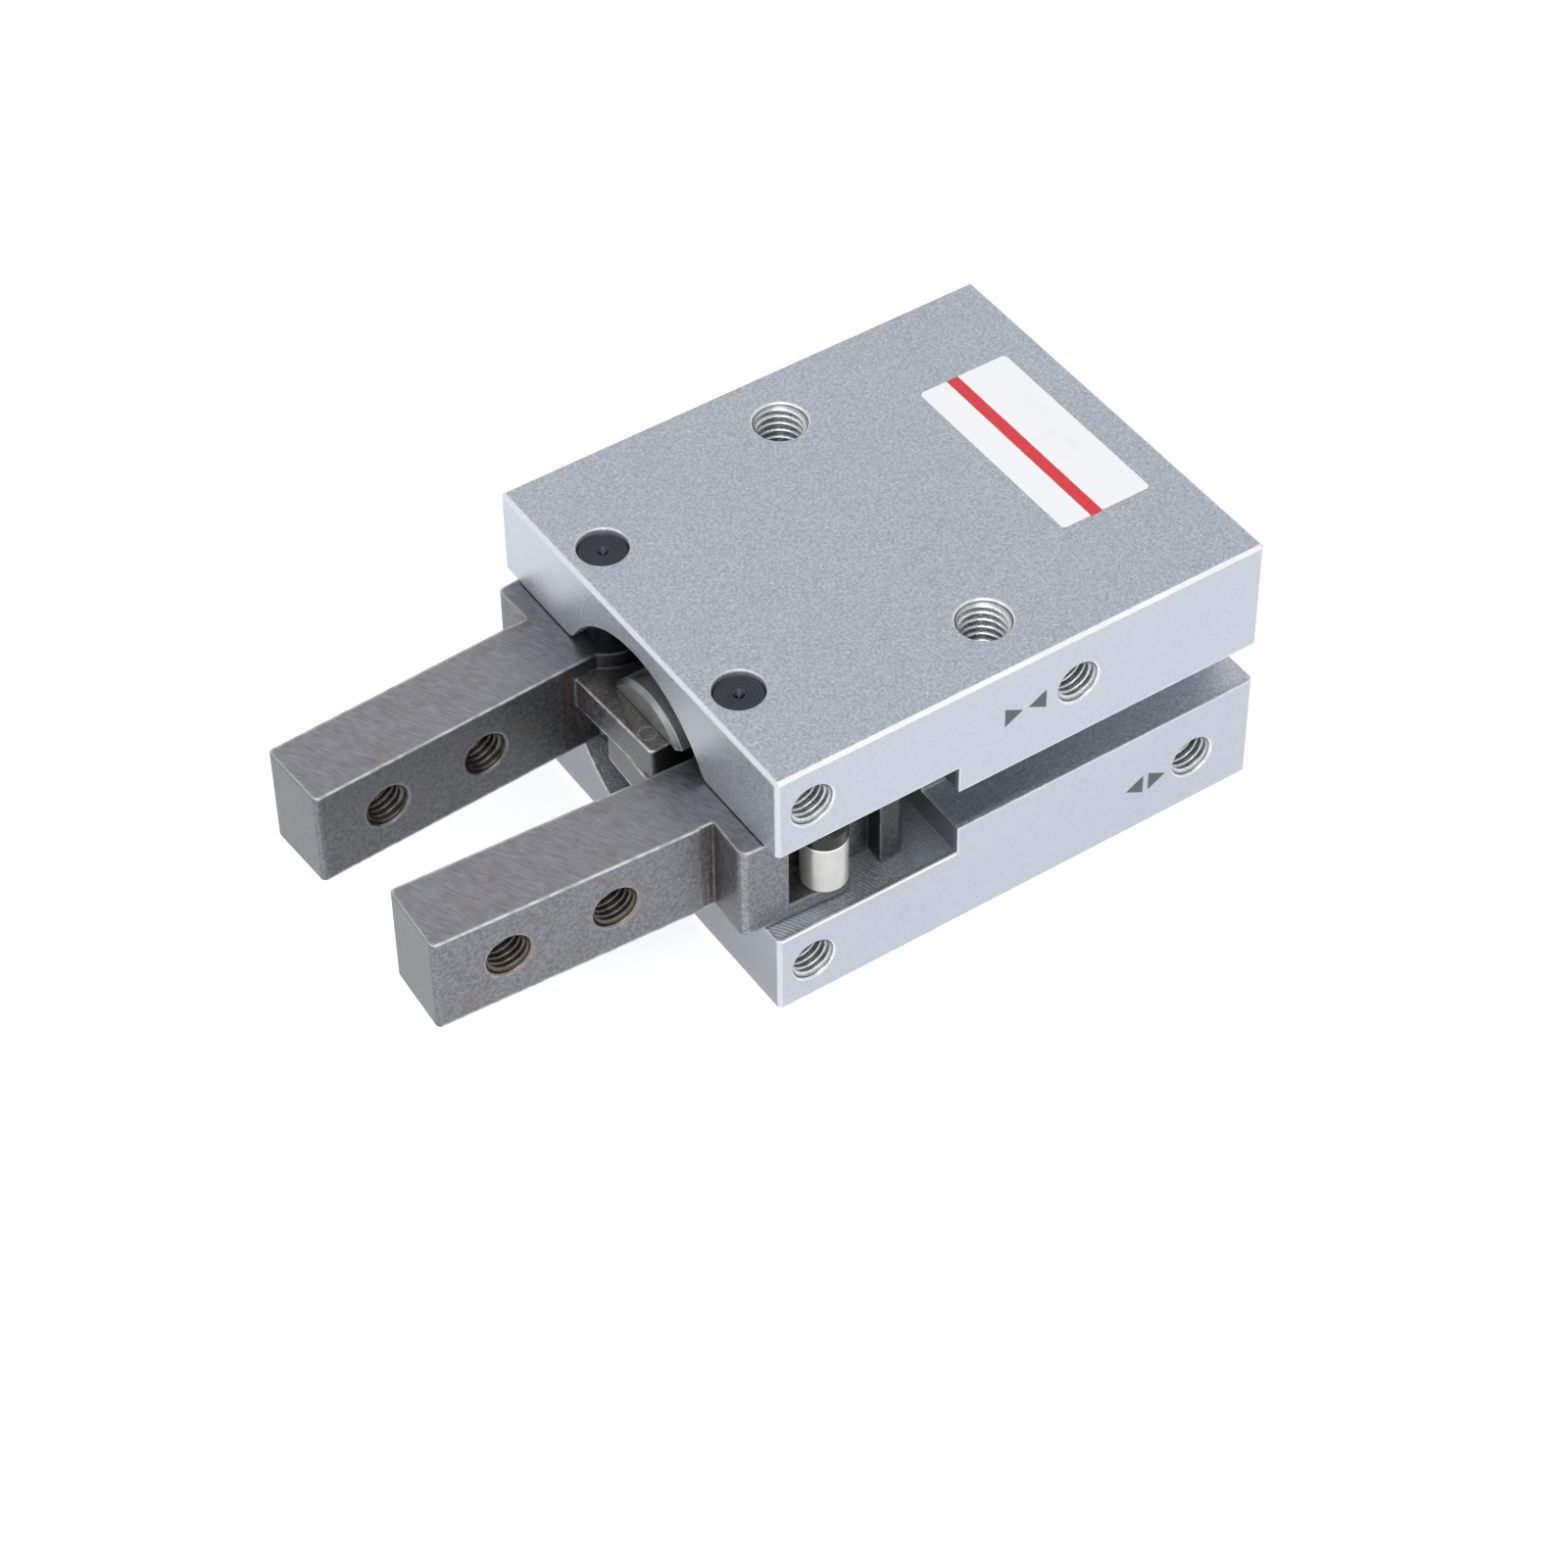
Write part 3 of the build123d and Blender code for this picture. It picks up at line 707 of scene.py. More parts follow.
@dataclass(frozen=True)
class TurnedMetal(Finish):
    """Lathe-turned metal with rings about an axis.

    Args:
        colour: The metal's colour.
        ring_colour: The colour between the rings.
        roughness: Mean roughness.
        centre: A point on the axis.
        plane: 1 along each axis that lies across the turning axis, 0 along it.
        pitch: Ring spacing in metres.
        metallic: Share of metallic reflection.
        bevel_shade: Brightness of the bevels that lean along X, a painted shade.
        cap_level: Height above which the side is painted dark as a shadowed top face, over a painted
            highlight for its rim, in metres.
        cap_shade: Brightness of that painted shadow.
        rim_depth: Between which depths below that height the rim lies, in metres.
        rim_highlight: Brightness of the rim's painted highlight.
        patch_tones: Range of brightness over the patches.
        wear: Strength of the brightened edges, worn and partly a painted highlight.
    """

    colour: Rgb
    ring_colour: Rgb
    roughness: float
    centre: Point
    plane: Point
    pitch: float
    metallic: float = 1.0
    bevel_shade: float = 1.0
    cap_level: float = 1.0
    cap_shade: float = 0.05
    rim_depth: Pair = (0.22 * MM, 0.02 * MM)
    rim_highlight: float = 1.35
    patch_tones: Pair = (0.92, 1.07)
    wear: float = 0.8

    def surface(self, graph: Graph) -> Socket:
        """Write rings, patches, worn edges that are partly a painted highlight, painted shade on the bevels
        and a painted shadow over a highlighted rim above the cap level.

        Args:
            graph: The material's graph.

        Returns:
            The shader socket.
        """
        (_, _, z), (nx, _, _) = graph.spot()
        rings = TurningRings().use(graph, Centre=self.centre, Plane=self.plane, Pitch=self.pitch)
        wear = EdgeWearAndHighlight().use(graph, Width=0.18 * MM, Breakup=0.6)
        patches = Smudges().use(graph, Scale=500.0, Low=0.2, High=0.85)
        base = graph.blend(rings["Value"], self.ring_colour, self.colour)
        # Painted shade on the bevels that lean along X.
        bevel = graph.fade(graph.window(graph.magnitude(nx), 0.5, 0.85, 0.03), 1.0, self.bevel_shade)
        clouded = graph.scaled(base, graph.product(bevel, graph.fade(patches["Mask"], *self.patch_tones)))
        # Worn edges, partly a painted highlight.
        bright = tuple(min(1.0, 1.5 * part + 0.08) for part in self.colour)
        edged = graph.blend(graph.product(wear["Mask"], self.wear), clouded, bright)
        # Above cap_level the side is a painted shadow standing for a lower top face, with a painted
        # highlight at its rim.
        top = self.cap_level
        rim_low, rim_high = (top - depth for depth in self.rim_depth)
        rim = graph.fade(graph.window(z, rim_low, rim_high, 0.04 * MM), 1.0, self.rim_highlight)
        cap = graph.product(rim, graph.spread(z, top, top + 0.05 * MM, 1.0, self.cap_shade))
        rough = graph.fade(rings["Value"], self.roughness - 0.06, self.roughness + 0.08)
        normal = bumped(graph, rings["Value"], 0.002 * MM, wear["Normal"])
        return principled(graph, graph.scaled(edged, cap), rough, normal, Metallic=self.metallic)


@dataclass(frozen=True)
class GroundSteel(Finish):
    """Finger steel: ground flat faces, mottled satin sides and a rougher arm.

    Places and distances are in metres.

    Args:
        ground_colour: The ground top and bottom faces.
        side_colour: The faces round the outline.
        arm_colour: The driving arm between the plates.
        edge_colour: Worn edges, partly a painted highlight.
        stain_colour: Brown traces near the holes.
        dim_edge_colour: Colour of the darkened edges of faces that look along X.
        rust_colour: Streaks at the finger's root.
        inner_shade: Brightness of the faces that look at the other finger, a painted shade.
        end_shade: Brightness of the faces that look along X, a painted shade.
        middle_height: Height of the fingers' middle.
        ground_reach: Where the ground faces fade in, away from the middle height.
        mark_centre: Centre of the small ring mark on the upper arm.
        mark_radius: Its radius.
        shelter_x: Where the body's shelter from wear and light fades out along X.
        throat_y: Where the painted shade in the throat between the fingers fades out along Y.
        tail_x: Where the painted shade on the tail fades out along X.
        root_x: Between which X the root is streaked.
        root_side: Distance of the bar's outer side from the middle.
        round_start: How far outside it the round end of the flange starts.
        round_highlight: Brightness of the painted highlight on the faces that lean to the front there.
        tail_shade: Brightness of the tail's painted shade.
        throat_shade: Brightness of the throat's painted shade.
        streak_tones: Range of the ground faces' brightness over their streaks.
        cloud_tones: The same over their clouds.
        mottle_tones: Range of the sides' brightness over their mottling.
        arm_tones: Range of the arm's brightness over its grain.
        ground_roughness: Range of the ground faces' roughness.
        side_roughness: Range of the sides' roughness.
        mark: Strength of the ring mark.
        stain: Strength of the stains.
        edge_dimming: Strength of that darkening.
        sheltered_wear: Share of the worn edges' brightness, partly a painted highlight, that the body's
            shelter leaves.
        metallic: Share of metallic reflection.
    """

    ground_colour: Rgb = linear(135, 135, 141)
    side_colour: Rgb = linear(126, 127, 132)
    arm_colour: Rgb = linear(140, 139, 138)
    edge_colour: Rgb = linear(238, 238, 234)
    stain_colour: Rgb = linear(116, 98, 78)
    dim_edge_colour: Rgb = linear(72, 72, 78)
    rust_colour: Rgb = linear(98, 80, 70)
    inner_shade: float = 0.68
    end_shade: float = 0.86
    middle_height: float = MIDDLE
    ground_reach: Pair = (5.7 * MM, 5.9 * MM)
    mark_centre: Point = (30.5 * MM, 1.9 * MM, 0.0)
    mark_radius: float = 0.95 * MM
    shelter_x: Pair = (28.0 * MM, 32.0 * MM)
    throat_y: Pair = (11.0 * MM, 13.0 * MM)
    tail_x: Pair = (15.0 * MM, 20.0 * MM)
    root_x: Pair = (32.6 * MM, 33.9 * MM)
    root_side: float = 18.1 * MM
    round_start: Pair = (3.0 * MM, 4.0 * MM)
    round_highlight: float = 1.35
    tail_shade: float = 0.34
    throat_shade: float = 0.38
    streak_tones: Pair = (0.84, 1.13)
    cloud_tones: Pair = (0.95, 1.06)
    mottle_tones: Pair = (0.7, 1.2)
    arm_tones: Pair = (0.7, 1.25)
    ground_roughness: Pair = (0.28, 0.4)
    side_roughness: Pair = (0.36, 0.5)
    mark: float = 0.3
    stain: float = 0.3
    edge_dimming: float = 0.55
    sheltered_wear: float = 0.15
    metallic: float = 0.95

    def surface(self, graph: Graph) -> Socket:
        """Write grinding streaks, mottling, the ring mark, stains, worn edges that are partly a painted
        highlight, and painted shade and highlight on some faces.

        Args:
            graph: The material's graph.

        Returns:
            The shader socket.
        """
        (x, y, z), (nx, ny, nz) = graph.spot()
        side = graph.magnitude(y)
        flat = graph.facing(graph.magnitude(nz))
        rise = graph.magnitude(graph.math("SUBTRACT", z, self.middle_height))
        at_ground = graph.spread(rise, *self.ground_reach)
        ground = graph.product(flat, at_ground)
        arm = graph.product(flat, graph.inverse(at_ground))
        streaks = Streaks().use(graph, Stretch=(600.0, 6000.0, 6000.0), Turn=1.1)
        clouds = Smudges().use(graph, Scale=700.0, Low=0.3, High=0.7)
        fine = BlastedGrain().use(graph, Scale=4200.0)
        mottle = Smudges().use(graph, Scale=2500.0, Low=0.3, High=0.7)
        stain = Smudges().use(graph, Scale=260.0, Low=0.52, High=0.75)
        drips = Streaks().use(graph, Stretch=(2600.0, 2600.0, 160.0))
        mark = TurningRings().use(graph, Centre=self.mark_centre, Pitch=0.5 * MM)
        wear = EdgeWearAndHighlight().use(graph, Width=0.4 * MM, Breakup=0.5)

        # Painted shade on the faces that look at the other finger and on those that look along X.
        facing_in = graph.product(graph.math("SIGN", y), ny, -1.0)
        # Painted highlight on the faces that lean to the front at the flange's round end.
        rounded = graph.product(graph.window(nx, 0.35, 0.8, 0.1),
                                graph.spread(side, *(self.root_side + start for start in self.round_start)))
        side_tone = graph.product(graph.fade(mottle["Mask"], *self.mottle_tones),
                                  graph.spread(facing_in, *NEARLY_FACING, 1.0, self.inner_shade),
                                  graph.spread(nx, *NEARLY_FACING, 1.0, self.end_shade),
                                  graph.fade(rounded, 1.0, self.round_highlight))
        ground_tone = graph.product(graph.fade(streaks["Value"], *self.streak_tones),
                                    graph.fade(clouds["Mask"], *self.cloud_tones))
        faces = graph.blend(ground, graph.scaled(self.side_colour, side_tone),
                            graph.scaled(self.ground_colour, ground_tone))
        dark = graph.scaled(self.arm_colour, graph.fade(fine["Value"], *self.arm_tones))
        base = graph.blend(arm, faces, dark)

        away = graph.magnitude(graph.math("SUBTRACT", mark["Radius"], self.mark_radius))
        ring = graph.product(graph.spread(away, 0.05 * MM, 0.16 * MM, 1.0, 0.0), arm,
                             graph.math("GREATER_THAN", y, 0.0), self.mark)
        marked = graph.blend(ring, base, self.edge_colour)
        stained = graph.blend(graph.product(stain["Mask"], self.stain), marked, self.stain_colour)
        rusted = graph.product(graph.window(x, *self.root_x, 0.4 * MM), graph.inverse(flat),
                               graph.spread(side, self.root_side, self.root_side + 2.2 * MM, 1.0, 0.0),
                               graph.spread(drips["Value"], 0.2, 0.8, 0.2, 0.8))
        streaked = graph.blend(rusted, stained, self.rust_colour)
        # Painted shade inside the body: on the tail and in the throat between the fingers.
        sheltered = graph.spread(x, *self.shelter_x, 1.0, 0.0)
        throat = graph.product(sheltered, graph.spread(side, *self.throat_y, 1.0, 0.0))
        tail = graph.spread(x, *self.tail_x, 1.0, 0.0)
        shade = graph.product(graph.fade(tail, 1.0, self.tail_shade),
                              graph.fade(throat, 1.0, self.throat_shade))
        # Worn edges, partly a painted highlight, weaker where the body shelters them.
        worn = self.worn(graph, graph.scaled(streaked, shade), wear, sheltered, at_ground)

        rough = graph.mixed(ground, graph.fade(mottle["Mask"], *self.side_roughness),
                            graph.fade(streaks["Value"], *self.ground_roughness))
        height = graph.mixed(ground, fine["Value"], streaks["Value"])
        normal = bumped(graph, height, 0.004 * MM, wear["Normal"])
        return principled(graph, worn, rough, normal, Metallic=self.metallic)

    def worn(self, graph: Graph, colour: Value, wear: Mapping[str, Socket],
             sheltered: Value, at_ground: Value) -> Socket:
        """Brighten the worn edges, partly as a painted highlight, and darken those that lean along X.

        Args:
            graph: The material's graph.
            colour: The colour without wear.
            wear: The edge wear's results.
            sheltered: Mask of what the body shelters.
            at_ground: Mask of the heights of the ground faces.

        Returns:
            The worn colour.
        """
        soft = graph.node("VectorTransform", {0: wear["Normal"]}, vector_type="NORMAL",
                          convert_from="WORLD", convert_to="OBJECT").outputs[0]
        lean = graph.spread(graph.magnitude(graph.shares(soft)[0]), 0.2, 0.45)
        ahead = graph.spread(graph.spot()[0][0], self.root_x[1], self.root_x[1] + 0.5 * MM)
        # Edges that lean along X, ahead of the root or at the ground faces' height, are darkened instead of
        # brightened.
        dull = graph.product(lean, graph.highest(ahead, at_ground))
        shown = graph.fade(sheltered, 1.0, self.sheltered_wear)
        lit = graph.product(wear["Mask"], shown, graph.inverse(dull))
        dimmed_edges = graph.blend(graph.product(wear["Mask"], dull, self.edge_dimming), colour, self.dim_edge_colour)
        return graph.blend(lit, dimmed_edges, self.edge_colour)


@dataclass(frozen=True)
class MouldedFinish(Finish):
    """Moulded rubber or plastic.

    Args:
        colour: The material's colour.
        bloom_colour: Colour of its pale patches.
        roughness: Mean roughness.
    """

    colour: Rgb
    bloom_colour: Rgb
    roughness: float

    def surface(self, graph: Graph) -> Socket:
        """Write a fine skin with pale patches.

        Args:
            graph: The material's graph.

        Returns:
            The shader socket.
        """
        skin = BlastedGrain().use(graph, Scale=7000.0)
        bloom = Smudges().use(graph, Scale=300.0, Low=0.45, High=0.8)
        wear = EdgeWearAndHighlight().use(graph, Width=0.2 * MM, Breakup=0.5)
        base = graph.blend(graph.product(bloom["Mask"], 0.5), self.colour, self.bloom_colour)
        rough = graph.fade(skin["Value"], self.roughness - 0.08, self.roughness + 0.08)
        return principled(graph, base, rough, bumped(graph, skin["Value"], 0.006 * MM, wear["Normal"]))


@dataclass(frozen=True)
class ThreadFinish(Finish):
    """Cut thread, with painted shade and some dirt in its grooves, and bright on its ridges.

    Args:
        ridge_colour: Colour of the ridges.
        groove_shade_colour: Colour down in the grooves, a painted shade with some dirt.
        lip_colour: Colour of the countersunk lip.
        roughness: Mean roughness.
    """

    ridge_colour: Rgb
    groove_shade_colour: Rgb
    lip_colour: Rgb
    roughness: float = 0.3

    def surface(self, graph: Graph) -> Socket:
        """Write the colour from the ridge attribute, with small tool marks.

        Args:
            graph: The material's graph.

        Returns:
            The shader socket.
        """
        ridge = graph.node("Attribute", attribute_name="ridge").outputs["Fac"]
        marks = BlastedGrain().use(graph, Scale=6000.0)
        # The dark grooves are painted shade, with some dirt.
        cut = graph.blend(ridge, self.groove_shade_colour, self.ridge_colour)
        base = graph.blend(graph.spread(ridge, 1.05, 1.3), cut, self.lip_colour)
        toned = graph.scaled(base, graph.fade(marks["Value"], 0.8, 1.15))
        rough = graph.fade(marks["Value"], self.roughness - 0.05, self.roughness + 0.1)
        return principled(graph, toned, rough, bumped(graph, marks["Value"], 0.004 * MM), Metallic=0.9)


@dataclass(frozen=True)
class LabelPaper(Finish):
    """Coated sticker with one printed band.

    Args:
        paper_colour: The coated paper.
        band_colour: The printed band.
        band: Between which X it lies, in metres.
    """

    paper_colour: Rgb
    band_colour: Rgb
    band: Pair

    def surface(self, graph: Graph) -> Socket:
        """Write the paper's fibres, the band's ink and a thin clear coat.

        Args:
            graph: The material's graph.

        Returns:
            The shader socket.
        """
        (x, _, _), _ = graph.spot()
        fibres = Streaks().use(graph, Stretch=(1500.0, 4000.0, 4000.0), Turn=0.4)
        scuffs = Smudges().use(graph, Scale=220.0, Low=0.5, High=0.8)
        ragged = graph.math("ADD", x, graph.fade(fibres["Value"], -0.02 * MM, 0.02 * MM))
        ink = graph.scaled(self.band_colour, graph.fade(fibres["Value"], 0.94, 1.05))
        paper = graph.scaled(self.paper_colour, graph.fade(scuffs["Mask"], 1.0, 0.96))
        base = graph.blend(graph.window(ragged, *self.band, 0.06 * MM), paper, ink)
        return principled(graph, base, graph.fade(scuffs["Mask"], 0.42, 0.55),
                          bumped(graph, fibres["Value"], 0.003 * MM), Coat_Weight=0.05, Coat_Roughness=0.25)


@dataclass(frozen=True)
class MarkInk(Finish):
    """Dark fill of an engraved mark.

    Args:
        colour: The fill's colour.
    """

    colour: Rgb

    def surface(self, graph: Graph) -> Socket:
        """Write an uneven matt fill.

        Args:
            graph: The material's graph.

        Returns:
            The shader socket.
        """
        fill = BlastedGrain().use(graph, Scale=8000.0)
        base = graph.scaled(self.colour, graph.fade(fill["Value"], 0.75, 1.3))
        return principled(graph, base, 0.6, bumped(graph, fill["Value"], 0.008 * MM))


@dataclass(frozen=True)
class PaleFloor(Finish):
    """Plain floor that reads white to the camera and keeps the shadow.

    Args:
        colour: The floor's colour.
        lift: Light added for camera and mirror rays.
    """

    colour: Rgb
    lift: float

    def surface(self, graph: Graph) -> Socket:
        """Write the diffuse floor and its lift.

        Args:
            graph: The material's graph.

        Returns:
            The shader socket.
        """
        sheen = graph.node("BsdfPrincipled", {"Base Color": self.colour, "Roughness": 0.9})
        lift = graph.node("Emission", {"Strength": graph.product(graph.seen(), self.lift)})
        return graph.node("AddShader", {0: sheen.outputs[0], 1: lift.outputs[0]}).outputs[0]


def finishes() -> dict[str, Finish]:
    """Finish of each material slot of the record.

    Returns:
        The finishes by slot name.
    """
    bore = (0.0, 0.0, MIDDLE)
    center_pin = (23.157 * MM, 0.0, 0.0)
    magnet = (22.504 * MM, 22.481 * MM, 0.0)
    made = [
        AnodisedBlock("anodised_aluminium"),
        GroundSteel("finger_steel"),
        MouldedFinish("seal_rubber", linear(34, 34, 35), linear(60, 60, 60), 0.55),
        MouldedFinish("bumper_urethane", linear(150, 118, 74), linear(172, 144, 100), 0.45),
        TurnedMetal("cap_aluminium", linear(176, 178, 182), linear(150, 152, 156), 0.34,
                    bore, ACROSS_X, 0.22 * MM),
        TurnedMetal("black_spring_steel", linear(62, 63, 66), linear(46, 47, 50), 0.4,
                    bore, ACROSS_X, 0.3 * MM),
        TurnedMetal("bush_bronze", linear(176, 140, 92), linear(146, 112, 70), 0.42,
                    bore, ACROSS_X, 0.2 * MM),
        # The rod's bevel gets a painted shade.
        TurnedMetal("rod_steel", linear(186, 187, 187), linear(168, 169, 169), 0.4,
                    bore, ACROSS_X, 0.25 * MM, bevel_shade=0.55),
        TurnedMetal("pin_steel", linear(160, 162, 165), linear(128, 130, 132), 0.26,
                    center_pin, ACROSS_Z, 0.25 * MM),
        # The magnet's side above 19 mm is a painted shadow over a painted highlight at its rim.
        TurnedMetal("magnet_nickel", linear(218, 217, 213), linear(205, 204, 200), 0.36,
                    magnet, ACROSS_Z, 0.4 * MM, metallic=0.6, cap_level=19.0 * MM),
        TurnedMetal("black_oxide_pin", linear(66, 70, 77), linear(56, 60, 67), 0.3,
                    PIVOT, ACROSS_Z, 0.42 * MM),
    ]
    return {finish.name: finish for finish in made}


def solid_of_rings(rings: np.ndarray) -> tuple[np.ndarray, list[list[int]]]:
    """Close a stack of rings with a centre point at each end.

    Each ring joins the next with quads, and a fan of triangles closes the first and last ring.

    Args:
        rings: Points as (rings, points round, 3), turning so that the outside faces out.

    Returns:
        The vertices and the faces.
    """
    count, around = rings.shape[:2]
    ends = np.stack([rings[0].mean(axis=0), rings[-1].mean(axis=0)])
    index = np.arange(count * around).reshape(count, around)
    ahead = np.roll(index, -1, axis=1)
    quads = np.stack([index[:-1], ahead[:-1], ahead[1:], index[1:]], axis=-1).reshape(-1, 4)
    first, last = count * around, count * around + 1
    below = np.stack([ahead[0], index[0], np.full(around, first)], axis=-1)
    above = np.stack([index[-1], ahead[-1], np.full(around, last)], axis=-1)
    return np.concatenate([rings.reshape(-1, 3), ends]), [*quads.tolist(), *below.tolist(), *above.tolist()]


def tube_of_rings(rings: np.ndarray) -> tuple[np.ndarray, list[list[int]]]:
    """Join a stack of rings end to start, so that they bound a solid like a torus.

    Args:
        rings: Points as (rings, points round, 3), turning so that the outside faces out.

    Returns:
        The vertices and the faces.
    """
    count, around = rings.shape[:2]
    index = np.arange(count * around).reshape(count, around)
    ahead = np.roll(index, -1, axis=1)
    below = np.roll(index, -1, axis=0)
    corner = np.roll(ahead, -1, axis=0)
    quads = np.stack([index, ahead, corner, below], axis=-1).reshape(-1, 4)
    return rings.reshape(-1, 3), quads.tolist()


def mesh_object(name: str, points: np.ndarray, faces: list[list[int]],
                material: bpy.types.Material, smooth: bool = False) -> bpy.types.Object:
    """Make an object at the origin from arrays.

    Args:
        name: Name of the object.
        points: Its vertices in metres, in the part's frame.
        faces: Its faces as vertex numbers.
        material: Its material.
        smooth: Whether its faces are shaded smooth.

    Returns:
        The linked object.
    """
    mesh = bpy.data.meshes.new(name)
    mesh.from_pydata(points.tolist(), [], faces)
    mesh.materials.append(material)
    mesh.polygons.foreach_set("use_smooth", np.full(len(faces), smooth))
    mesh.update()
    made = bpy.data.objects.new(name, mesh)
    bpy.context.scene.collection.objects.link(made)
    log.info("piece %s with %d faces", name, len(faces))
    return made


class ThreadSize(Enum):
    """Metric threads, as outer radius and pitch in metres."""

    M5 = (2.5 * MM, 0.8 * MM)
    M6 = (3.0 * MM, 1.0 * MM)

    @property
    def radius(self) -> float:
        """Outer radius of the thread."""
        return self.value[0]

    @property
    def pitch(self) -> float:
        """Rise of one turn."""
        return self.value[1]


@dataclass(frozen=True)
class ThreadedHole:
    """One threaded hole of the part.

    Args:
        name: Name of the hole.
        size: Its thread.
        mouth: Centre of its mouth in metres.
        outward: Direction out of the hole.
        depth: Length of thread below the mouth in metres.
        body: The CAD body it rides on.
        slot: Material slot of the piece it is cut in.
    """

    name: str
    size: ThreadSize
    mouth: Vector
    outward: Vector
    depth: float
    body: str
    slot: str


@dataclass
class ThreadDressing:
    """Cut threads, as thin sleeves inside the plain holes of the CAD.

    Args:
        around: Points round a thread.
        lip: How far the countersink widens the mouth, in metres.
        per_turn: Points along one pitch.
        least_rows: Fewest points along a thread.
        wall_gap: Gap to the hole's wall in metres.
        least_wall: Sleeve thickness under the grooves in metres.
        countersink: Depth of the mouth that stays free in metres.
        depth_share: Thread depth as a share of the pitch.
        crest_share: Half width of a ridge's flat as a share of the pitch.
        root_share: Half width of a groove's flat as a share of the pitch.
        lip_mark: Ridge value of the countersunk lip.
    """

    around: int = 56
    lip: float = 0.2 * MM
    per_turn: int = 12
    least_rows: int = 8
    wall_gap: float = 0.003 * MM
    least_wall: float = 0.012 * MM
    countersink: float = 0.22 * MM
    depth_share: float = 0.541
    crest_share: float = 0.125
    root_share: float = 0.0625
    lip_mark: float = 1.4

    def build(self, hole: ThreadedHole, material: bpy.types.Material) -> bpy.types.Object:
        """Make one sleeve, whose inner side follows the ridges and whose outer side closes it.

        Args:
            hole: The hole to dress.
            material: The thread's material.

        Returns:
            The sleeve, riding on the hole's body.
        """
        rows = round((hole.depth - self.countersink) / hole.size.pitch * self.per_turn)
        depth = np.linspace(self.countersink, hole.depth, max(self.least_rows, rows))[:, None]
        angle = np.linspace(0, math.tau, self.around, endpoint=False)[None, :]
        ridge = self.ridges(hole, depth, angle)
        wall, skin = hole.size.radius - self.wall_gap, self.least_wall
        inner = wall - skin - self.depth_share * hole.size.pitch * ridge
        mouth = self.ring_rows([(skin / 2, wall + self.lip - skin), (self.countersink - skin, wall - skin)])
        cut = np.stack([np.broadcast_to(depth, inner.shape), inner], axis=-1)
        outer = self.ring_rows([(hole.depth, wall), (self.countersink, wall), (skin / 2, wall + self.lip)])
        depths, radii = np.moveaxis(np.concatenate([mouth, cut, outer]), -1, 0)
        along, across, up = self.axes(hole.outward)
        spokes = np.cos(angle)[..., None] * across + np.sin(angle)[..., None] * up
        points = np.array(hole.mouth) - depths[..., None] * along + radii[..., None] * spokes
        sleeve = mesh_object(f"thread_{hole.name}", *tube_of_rings(points), material, smooth=True)
        height = np.concatenate([np.full(mouth.shape[:2], self.lip_mark), ridge, np.zeros(outer.shape[:2])])
        attribute = sleeve.data.attributes.new("ridge", "FLOAT", "POINT")
        attribute.data.foreach_set("value", height.ravel().astype(np.float32))
        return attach(sleeve, hole.body)

    def ridges(self, hole: ThreadedHole, depth: np.ndarray, angle: np.ndarray) -> np.ndarray:
        """Ridge height of a right-handed helix, which fades in over its first and last half turn.

        Its phase is the depth over the pitch plus the angle over a full turn.

        Args:
            hole: The hole to dress.
            depth: Depth of each row in metres.
            angle: Angle of each point round the hole.

        Returns:
            The height of each point, from 0 to 1.
        """
        phase = np.mod(depth / hole.size.pitch + angle / math.tau, 1.0)
        side = 0.5 - self.root_share - np.abs(phase - 0.5)
        ridge = np.clip(side / (0.5 - self.root_share - self.crest_share), 0, 1)
        ease = np.minimum(depth - self.countersink, hole.depth - depth) / (hole.size.pitch / 2)
        return ridge * np.clip(ease, 0, 1)

    def ring_rows(self, places: Sequence[Pair]) -> np.ndarray:
        """Depth and radius of rows that keep both all the way round, in metres."""
        return np.broadcast_to(np.array(places)[:, None, :], (len(places), self.around, 2))

    @staticmethod
    def axes(outward: Vector) -> tuple[np.ndarray, np.ndarray, np.ndarray]:
        """Axes of a hole.

        Args:
            outward: Direction out of the hole.

        Returns:
            The outward, first and second cross directions, right-handed.
        """
        along = outward.normalized()
        helper = Vector((0, 0, 1)) if abs(along.z) < 0.9 else Vector((1, 0, 0))
        across = helper.cross(along).normalized()
        return np.array(along), np.array(across), np.array(along.cross(across))


